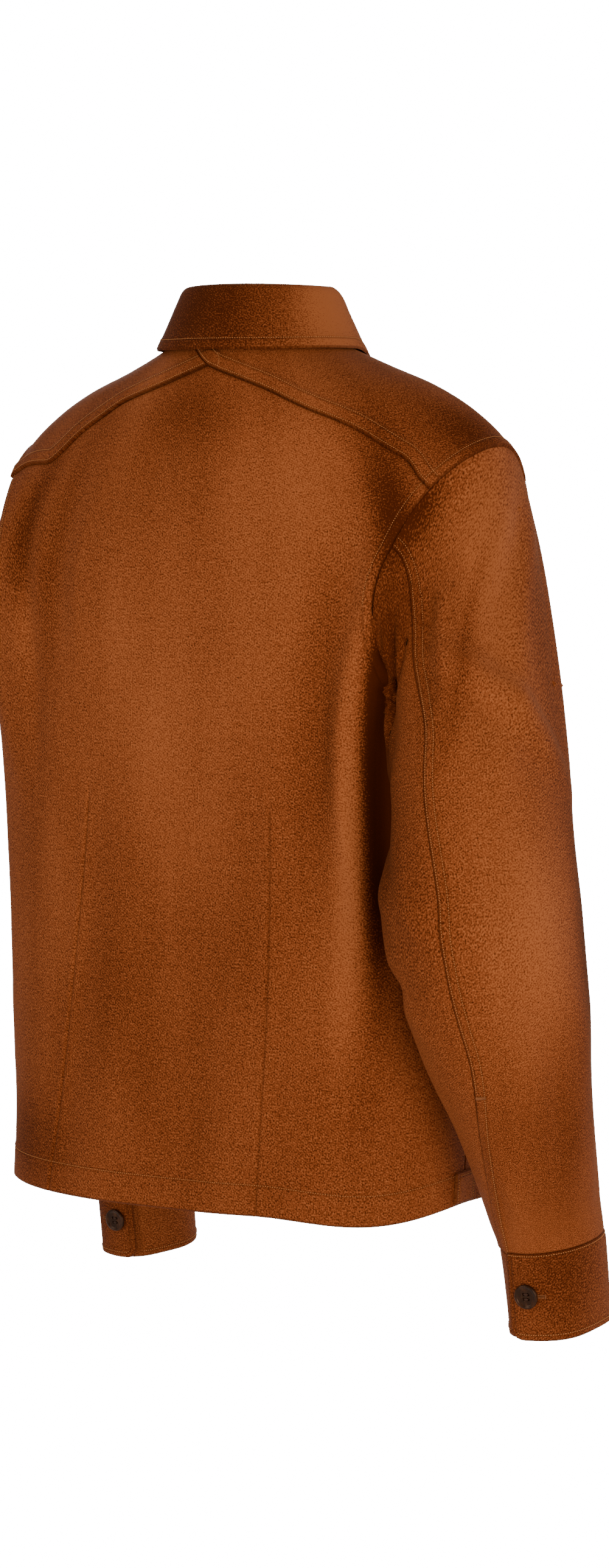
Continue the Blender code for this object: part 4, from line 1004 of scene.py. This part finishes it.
# A sleeve: a cubic blend from the armhole to the arm's tube over the sleeve head, and the tube below it.
def sleeveForm(label, sign, on, along):
    on, along = sameShape(on, along)
    on = on + np.radians(arm["twist"][sign]) * bump(along / arm["twistMiddle"] - 1)
    tube = armTube(label, sign, seamTurn(label, along) + on, along)
    join = np.full_like(along, arm["capEnd"])
    joinTurn = seamTurn(label, join) + on
    end, after, before = (armTube(label, sign, joinTurn, join + step) for step in (0, 0.005, -0.005))
    start, normal = atArmhole(sign, holeTurn(on))
    inward = squareTo(normal, bodyForm(sign * armhole["side"], armhole["midDrop"]) - start)
    level = np.cos(holeTurn(on))[..., None]
    run = inward * (0.5 + 0.5 * level) + normal * (0.10 - 0.32 * level) + np.array([0, 0, -0.5])
    run *= np.linalg.norm(end - start, axis=-1, keepdims=True) / np.linalg.norm(run, axis=-1, keepdims=True)
    step = np.minimum(along / arm["capEnd"], 1.0)[..., None]
    cap = cubic(step, start, run, end, (after - before) / 0.01 * arm["capEnd"])
    return clearOfBody(np.where(step < 1, cap, tube), along)


def foldedSleeve(label, sign, on, along):
    form = sleeveForm(label, sign, on, along)
    height = np.zeros(form.shape[:-1])
    for at, length, turn, width, rise, slant in arm["folds"]:
        away = (np.degrees(on) - turn - slant * (along - at) / length + 180) % 360 - 180
        height += rise * bump(away / width) * bump((along - at) / length)
    around, down = arm["flatAround"], arm["flatDown"]
    creases = [(math.radians(turnA) * around, atA * down, math.radians(turnB) * around, atB * down, width, rise)
               for turnA, atA, turnB, atB, width, rise in arm["creases"][label]]
    fade = np.clip(along / 0.05, 0, 1) * np.clip((1 - along) / 0.03, 0, 1)
    height = height + fade * sum(creaseHeight(np.radians(fromSeam(on) + whole) * around, along * down, creases)
                                 for whole in (0, 360))

    def smoothForm(turn, run):
        return sleeveForm(label, sign, turn, run)
    return form + outward(smoothForm, on, along, form) * sign * height[..., None]


# One of a sleeve's two pieces. The upper one laps the under one at the back seam with two rows.
def makeSleevePiece(label, sign, part, first, last):
    across = first + (last - first) * spaced(96, 0.2, (0.0005, 0.0012, 0.0022, 0.0036, 0.0052))
    along = np.linspace(0, 1, 151)[1:-1] ** arm["crowding"]
    along = np.sort(np.concatenate([along, [0, 0.0008, 0.0018, 0.0032, 0.0055, 0.9992, 0.9980, 0.9965, 1.0]]))
    on, along = np.meshgrid(2 * np.pi * across / armhole["points"], along)

    def form(turn, run):
        return foldedSleeve(label, sign, turn, run)
    points = form(on, along)
    normals = outward(form, on, along, points) * sign
    normals[0] = atArmhole(sign, holeTurn(on[0]))[1]
    topAway = nearest(points, points[0])
    startAway, endAway = nearest(points, points[:, 0]), nearest(points, points[:, -1])
    lift = relief["sleeveHead"] * ledge(topAway, 0.0008, 0.006)
    rows = [topAway + 0.0005]
    if part == "upper":
        inVent = 1 - np.clip((arm["ventFrom"] - along) / 0.004, 0, 1)
        lift = lift + relief["felledSeam"] * ledge(startAway, sewing["sleeveRow"])
        rows += [startAway - sewing["edgeRow"] + farAway * inVent, startAway - sewing["sleeveRow"]]
    else:
        lift = lift + relief["underSeam"] * ledge(endAway, 0.0006, 0.003)
    grid = raised(points, normals, lift), normals
    flat = np.stack([on * arm["flatAround"] + arm["shift"] * sign, along * arm["flatDown"]], axis=-1)
    name = "sleeve" + part.capitalize() + label.capitalize()
    piece = clothWall(name, "sleeve_" + part + "_" + label, *grid, cloth["wall"], rows,
                      (flat, napShadeAndSheenAt(fromSeam(on), along, arm["napShadeAndSheen"][label])))
    if part == "upper":
        lines = [line for row in rows[1:] for line in rowLines(row, *grid, across=False)]
        sewRows("sleeveStitches" + label.capitalize(), lines)
        makeTack("barTack" + label.capitalize(), *grid, startAway, along)
    return piece


# A bar tack: close stitches side by side across the felled seam, where the cuff's vent begins.
def makeTack(name, points, normals, startAway, along):
    row = int(np.argmin(np.abs(along[:, 0] - arm["tackAt"])))
    first, last = (int(np.argmin(np.abs(startAway[row] - reach))) for reach in (0.001, sewing["sleeveRow"]))
    at, known = np.linspace(0, 1, 15), np.linspace(0, 1, last + 1 - first)
    middles, ups = (readAt(at, known, values[row, first:last + 1]) for values in (points, normals))
    down = points[row + 1, first] - points[row - 1, first]
    stitches(name, middles + ups * 0.0003, np.tile(down, (15, 1)), ups, holeThread, 0.0030,
             sewing["thickRadius"])


def cuffLift(on):
    return cuff["lift"] - lapRise * eased((on - 290) / 50)


def cuffPlace(label, sign, turn, along, lift):
    def form(at, run):
        return armTube(label, sign, at, run)
    place = form(turn, along)
    normal = outward(form, turn, along, place) * sign
    return place + normal * np.asarray(lift)[..., None], normal


# A cuff: a band round the sleeve's end whose upper end laps the under one, with one rounded corner.
def makeCuff(label, sign):
    on = (360 + cuff["underlap"]) * spaced(130, 0.27, (0.0005, 0.0012, 0.0022, 0.0036, 0.0056, 0.008))
    down = spaced(26, cuff["depth"], (0.0005, 0.0012, 0.0022, 0.0036, 0.0052))
    on, down = np.meshgrid(on, down)
    arc = np.radians(on) * cuff["flatAround"]
    corner = np.clip(cuff["corner"] - arc, 0, None)
    cutOff = cuff["corner"] - np.sqrt(np.clip(cuff["corner"] ** 2 - corner ** 2, 0, None))
    along = cuff["start"] + (cuff["end"] - cuff["start"]) * down * (1 - cutOff / cuff["depth"])
    dent = 0.0016 * np.sin(np.radians(on) * 2 + 0.8) * down + 0.0009 * np.sin(np.radians(on) * 5 + 2.0) * down
    points, normals = cuffPlace(label, sign, np.radians(cuff["edgeTurn"] + on), along, cuffLift(on) + dent)
    edgeAway, topAway = nearest(points, points[-1], points[:, 0]), nearest(points, points[0])
    lift = (relief["cuffEdge"] * ledge(edgeAway, sewing["cuffRow"])
            + relief["cuffTop"] * ledge(topAway, 0.0008, 0.005))
    grid = raised(points, normals, lift), normals
    rows = [edgeAway - sewing["cuffRow"], topAway - sewing["edgeRow"]]
    flat = np.stack([arc + cuff["shift"], along * cuff["depth"] / (cuff["end"] - cuff["start"])], axis=-1)
    piece = clothWall("cuff" + label.capitalize(), "cuff_" + label, *grid, body["lapWall"], rows,
                      (flat, napShadeAndSheenAt(arc, flat[..., 1], cuff["napShadeAndSheen"])), "wool_double")
    lines = rowLines(rows[0], *grid, fromEnd=True) + rowLines(rows[1], *grid)
    sewRows("cuffStitches" + label.capitalize(), lines, sewing["thickRadius"])
    return piece


def collarForm(rings):
    def form(side, along):
        ring = columnsAt(rings, collar["columns"], along)
        ring["square"] = 2.0
        return oval(np.pi * side * ring["end"], ring)
    return form


def makeCollarPiece(name, nodeName, rings, rowCount, sewnEdges):
    side = spaced(170, 0.34, (0.0005, 0.0012, 0.0022, 0.0036, 0.0056)) * 2 - 1
    known = rings[:, 0]
    along = np.interp(np.linspace(0, 1, rowCount + 1), np.linspace(0, 1, len(known)), known)
    if sewnEdges:
        along = np.sort(np.concatenate([along[:-1], [0.990, 0.978, 0.960, 0.935, 1.0]]))
    side, along = np.meshgrid(side, along)
    form = collarForm(rings)
    points, normals = form(side, along), outward(form, side, along)
    rows = []
    if sewnEdges:
        wave = np.sin(side * 7.1 + 0.6) * 0.0011 + np.sin(side * 17 + 1.9) * 0.0004
        points = points + normals * (wave * np.clip((along - 0.25) / 0.75, 0, 1))[..., None]
        edgeAway = nearest(points, points[-1], points[:, 0], points[:, -1])
        points = points + normals * (relief["collarEdge"] * ledge(edgeAway, sewing["collarRow"]))[..., None]
        rows = [edgeAway - sewing["collarRow"]]
    across, down = side * collar["flatAcross"], along * collar["flatDown"]
    piece = clothWall(name, nodeName, points, normals, collar["wall"], rows,
                      (np.stack([across + collar["shift"], down], axis=-1), napShadeAndSheenAt(across, down, collar["napShadeAndSheen"])),
                      "wool_double")
    if sewnEdges:
        lines = rowLines(rows[0], points, normals, fromEnd=True) + sideLines(rows[0], points, normals)
        sewRows("collarStitches", lines)
    return piece


# A button: a turned profile carried round its axis. Its dished face sinks into four deep sewing holes.
def makeButton(name, nodeName, point, normal, sideways):
    normal = unit(normal)
    across = squareTo(normal, sideways)
    up = np.cross(normal, across)
    radius, height, rim, apart = (button[key] for key in ("radius", "height", "rim", "holeApart"))
    face = height - button["dish"]
    profile = [(0.0, 0.0), (radius - 0.0015, 0.0), (radius - 0.0005, 0.0002), (radius, 0.0009),
               (radius, height - 0.0010), (radius - 0.0003, height - 0.0003), (radius - 0.0009, height),
               (radius - rim + 0.0004, height - 0.0002), (radius - rim, height - 0.0005),
               (radius - rim - 0.0006, face)]
    inFace = np.arange(1, len(profile) + 23)[:, None] >= len(profile)
    reach = np.linspace(radius - rim - 0.0008, 0, 24)
    profile += [(at, face - 0.0001 * (1 - at / reach[0])) for at in reach]
    reach, level = np.array(profile).T
    turns = 2 * np.pi * np.arange(button["turns"]) / button["turns"]
    x, y = reach[1:-1, None] * np.cos(turns), reach[1:-1, None] * np.sin(turns)
    z = np.broadcast_to(level[1:-1, None], x.shape).copy()
    for holeX, holeY in ((apart, apart), (-apart, apart), (apart, -apart), (-apart, -apart)):
        away = np.hypot(x - holeX, y - holeY)
        z -= np.where(inFace, button["holeDepth"] * eased((button["hole"] + 0.00025 - away) / 0.00035), 0)
    ringPoints = point + x[..., None] * across + y[..., None] * up + z[..., None] * normal
    points = np.concatenate([ringPoints.reshape(-1, 3), [point + level[0] * normal, point + level[-1] * normal]])
    faces = gridFaces(len(z), button["turns"], closed=True).tolist()
    count = z.size
    for k in range(button["turns"]):
        after = (k + 1) % button["turns"]
        faces += [(count, after, k), (count + 1, count - button["turns"] + k, count - button["turns"] + after)]
    piece = newPiece(name, points, faces, horn, "horn")
    piece.data.set_sharp_from_angle(angle=math.radians(50))
    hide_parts(nodeName)
    top = point + normal * (face - 0.0001)
    middles = np.array([top + up * (side * apart + spread) for side in (1, -1) for spread in (-0.00028, 0, 0.00028)])
    stitches(name + "Thread", middles, np.tile(across, (6, 1)), np.tile(normal, (6, 1)), darkThread,
             2 * apart + 0.0006, 0.00030)


# A buttonhole: satin stitches set side by side round a slot, and a bar at each end.
def makeButtonhole(name, middle, normal, along):
    normal, length = unit(normal), button["buttonhole"]
    along = squareTo(normal, along)
    across = np.cross(normal, along)
    run, bar = np.arange(-length / 2, length / 2, 0.00052)[:, None], np.linspace(-0.0013, 0.0013, 6)[:, None]
    middles = [middle + run * along + side * 0.0008 * across for side in (-1, 1)]
    middles += [middle + end * (length / 2 + 0.0006) * along + bar * across for end in (-1, 1)]
    middles = np.concatenate(middles) + normal * 0.00012
    runs = np.concatenate([np.tile(across, (2 * len(run), 1)), np.tile(along, (2 * len(bar), 1))])
    stitches(name, middles, runs, np.tile(normal, (len(middles), 1)), holeThread, 0.0014, 0.00024)


panels = [makeBack()]
print("back made")
for label, sign in (("right", -1), ("left", 1)):
    panels += [makeYoke(label, sign), makeFront(label, sign), makeHemTab(label, sign)]
    print(label, "body pieces made")
    panels += [makeSleevePiece(label, sign, "upper", 0, arm["upperPoints"]),
               makeSleevePiece(label, sign, "under", arm["upperPoints"], armhole["points"]), makeCuff(label, sign)]
    print(label, "sleeve made")
panels.append(makeCollarPiece("collarStand", "collar_stand", collar["stand"], 14, False))
panels.append(makeCollarPiece("collarFall", "collar_fall", collar["fall"], 60, True))
print("collar made")

for label, sign in (("right", -1), ("left", 1)):
    turn, along = np.radians(cuff["buttonTurn"]), cuff["buttonAlong"]
    point, normal = cuffPlace(label, sign, turn, along, cuff["lift"] + button["gap"])
    sideways = cuffPlace(label, sign, turn + 0.02, along, cuff["lift"])[0] - point
    makeButton("cuffButton" + label.capitalize(), "button_cuff_" + label, point, normal, sideways)
    hole = cuffPlace(label, sign, turn + cuff["holeTurn"], along, cuff["lift"] + 0.0001)
    makeButtonhole("cuffButtonhole" + label.capitalize(), *hole, sideways)
sideways = np.array([1.0, 0, 0])
for count, drop in enumerate(button["frontDrops"], 1):
    point, normal = bodyCloth(np.float64(1.0), np.float64(drop))
    lift = lapRise + button["gap"]
    makeButton("frontButton%d" % count, "button_front_%d" % count, point + normal * lift, normal, sideways)
    makeButtonhole("frontButtonhole%d" % count, point + normal * (lift - 0.0002), normal, sideways)
print("buttons made")


# A camera or lamp placed so that it looks along a direction.
def lookAlong(name, data, place, direction):
    made = linked(name, data)
    made.location = place
    made.rotation_mode = "QUATERNION"
    made.rotation_quaternion = mathutils.Vector(direction).to_track_quat("-Z", "Y")
    return made


def placeCamera(view):
    turn = math.radians(view["turn"])
    toCamera = np.array([-math.sin(turn), math.cos(turn), 0])
    rightward = np.array([-math.cos(turn), -math.sin(turn), 0])
    width, height = view["frame"]
    yaw = math.atan((width / 2 - view["aim"][0]) / view["focus"])
    pitch = math.atan((height / 2 - view["aim"][1]) / view["focus"])
    forward = -toCamera * math.cos(yaw) + rightward * math.sin(yaw)
    forward = forward * math.cos(pitch) + np.array([0, 0, -1]) * math.sin(pitch)
    data = bpy.data.cameras.new("photoCamera")
    data.sensor_width = 24
    data.lens = 24 * view["focus"] / height
    data.clip_start, data.clip_end = 0.05, 60
    place = toCamera * view["distance"] + np.array([0, 0, view["height"]])
    bpy.context.scene.camera = lookAlong("photoCamera", data, place, forward)
    return toCamera, rightward


def makeStudio(toCamera, rightward):
    size, floorHeight, white = 14.0, studio["floorHeight"], (1, 1, 1, 1)
    material, tree, shader = newMaterial("paleFloor", (*studio["floorColour"], 1))
    seen = node(tree, "ShaderNodeLightPath").outputs["Is Camera Ray"]
    fill(tree, shader, {"Base Color": (*studio["floorColour"], 1), "Roughness": 0.9, "Emission Color": white,
                        "Emission Strength": maths(tree, "MULTIPLY", seen, studio["backdrop"])})
    corners = [(x * size, y * size, floorHeight) for x, y in ((-1, -1), (1, -1), (1, 1), (-1, 1))]
    linked("floor", newMesh("floor", corners, [(0, 1, 2, 3)], material))
    world = bpy.data.worlds.new("studio")
    world.use_nodes = True
    tree = world.node_tree
    seen = node(tree, "ShaderNodeLightPath").outputs["Is Camera Ray"]
    strength = maths(tree, "ADD", maths(tree, "MULTIPLY", seen, studio["backdrop"]), studio["world"])
    fill(tree, tree.nodes["Background"], {"Color": white, "Strength": strength})
    bpy.context.scene.world = world
    aim = np.array([0, 0, -0.30])
    for name, azimuth, height, distance, spread, power in studio["lights"]:
        turn = math.radians(azimuth)
        toLight = toCamera * math.cos(turn) + rightward * math.sin(turn)
        place = aim + toLight * distance + np.array([0, 0, height])
        light = bpy.data.lights.new(name, "AREA")
        light.shape, light.size, light.energy = "DISK", spread, power
        lookAlong(name, light, place, aim - place)


makeStudio(*placeCamera(cameraView))
bpy.context.view_layer.update()
print("scene ready")
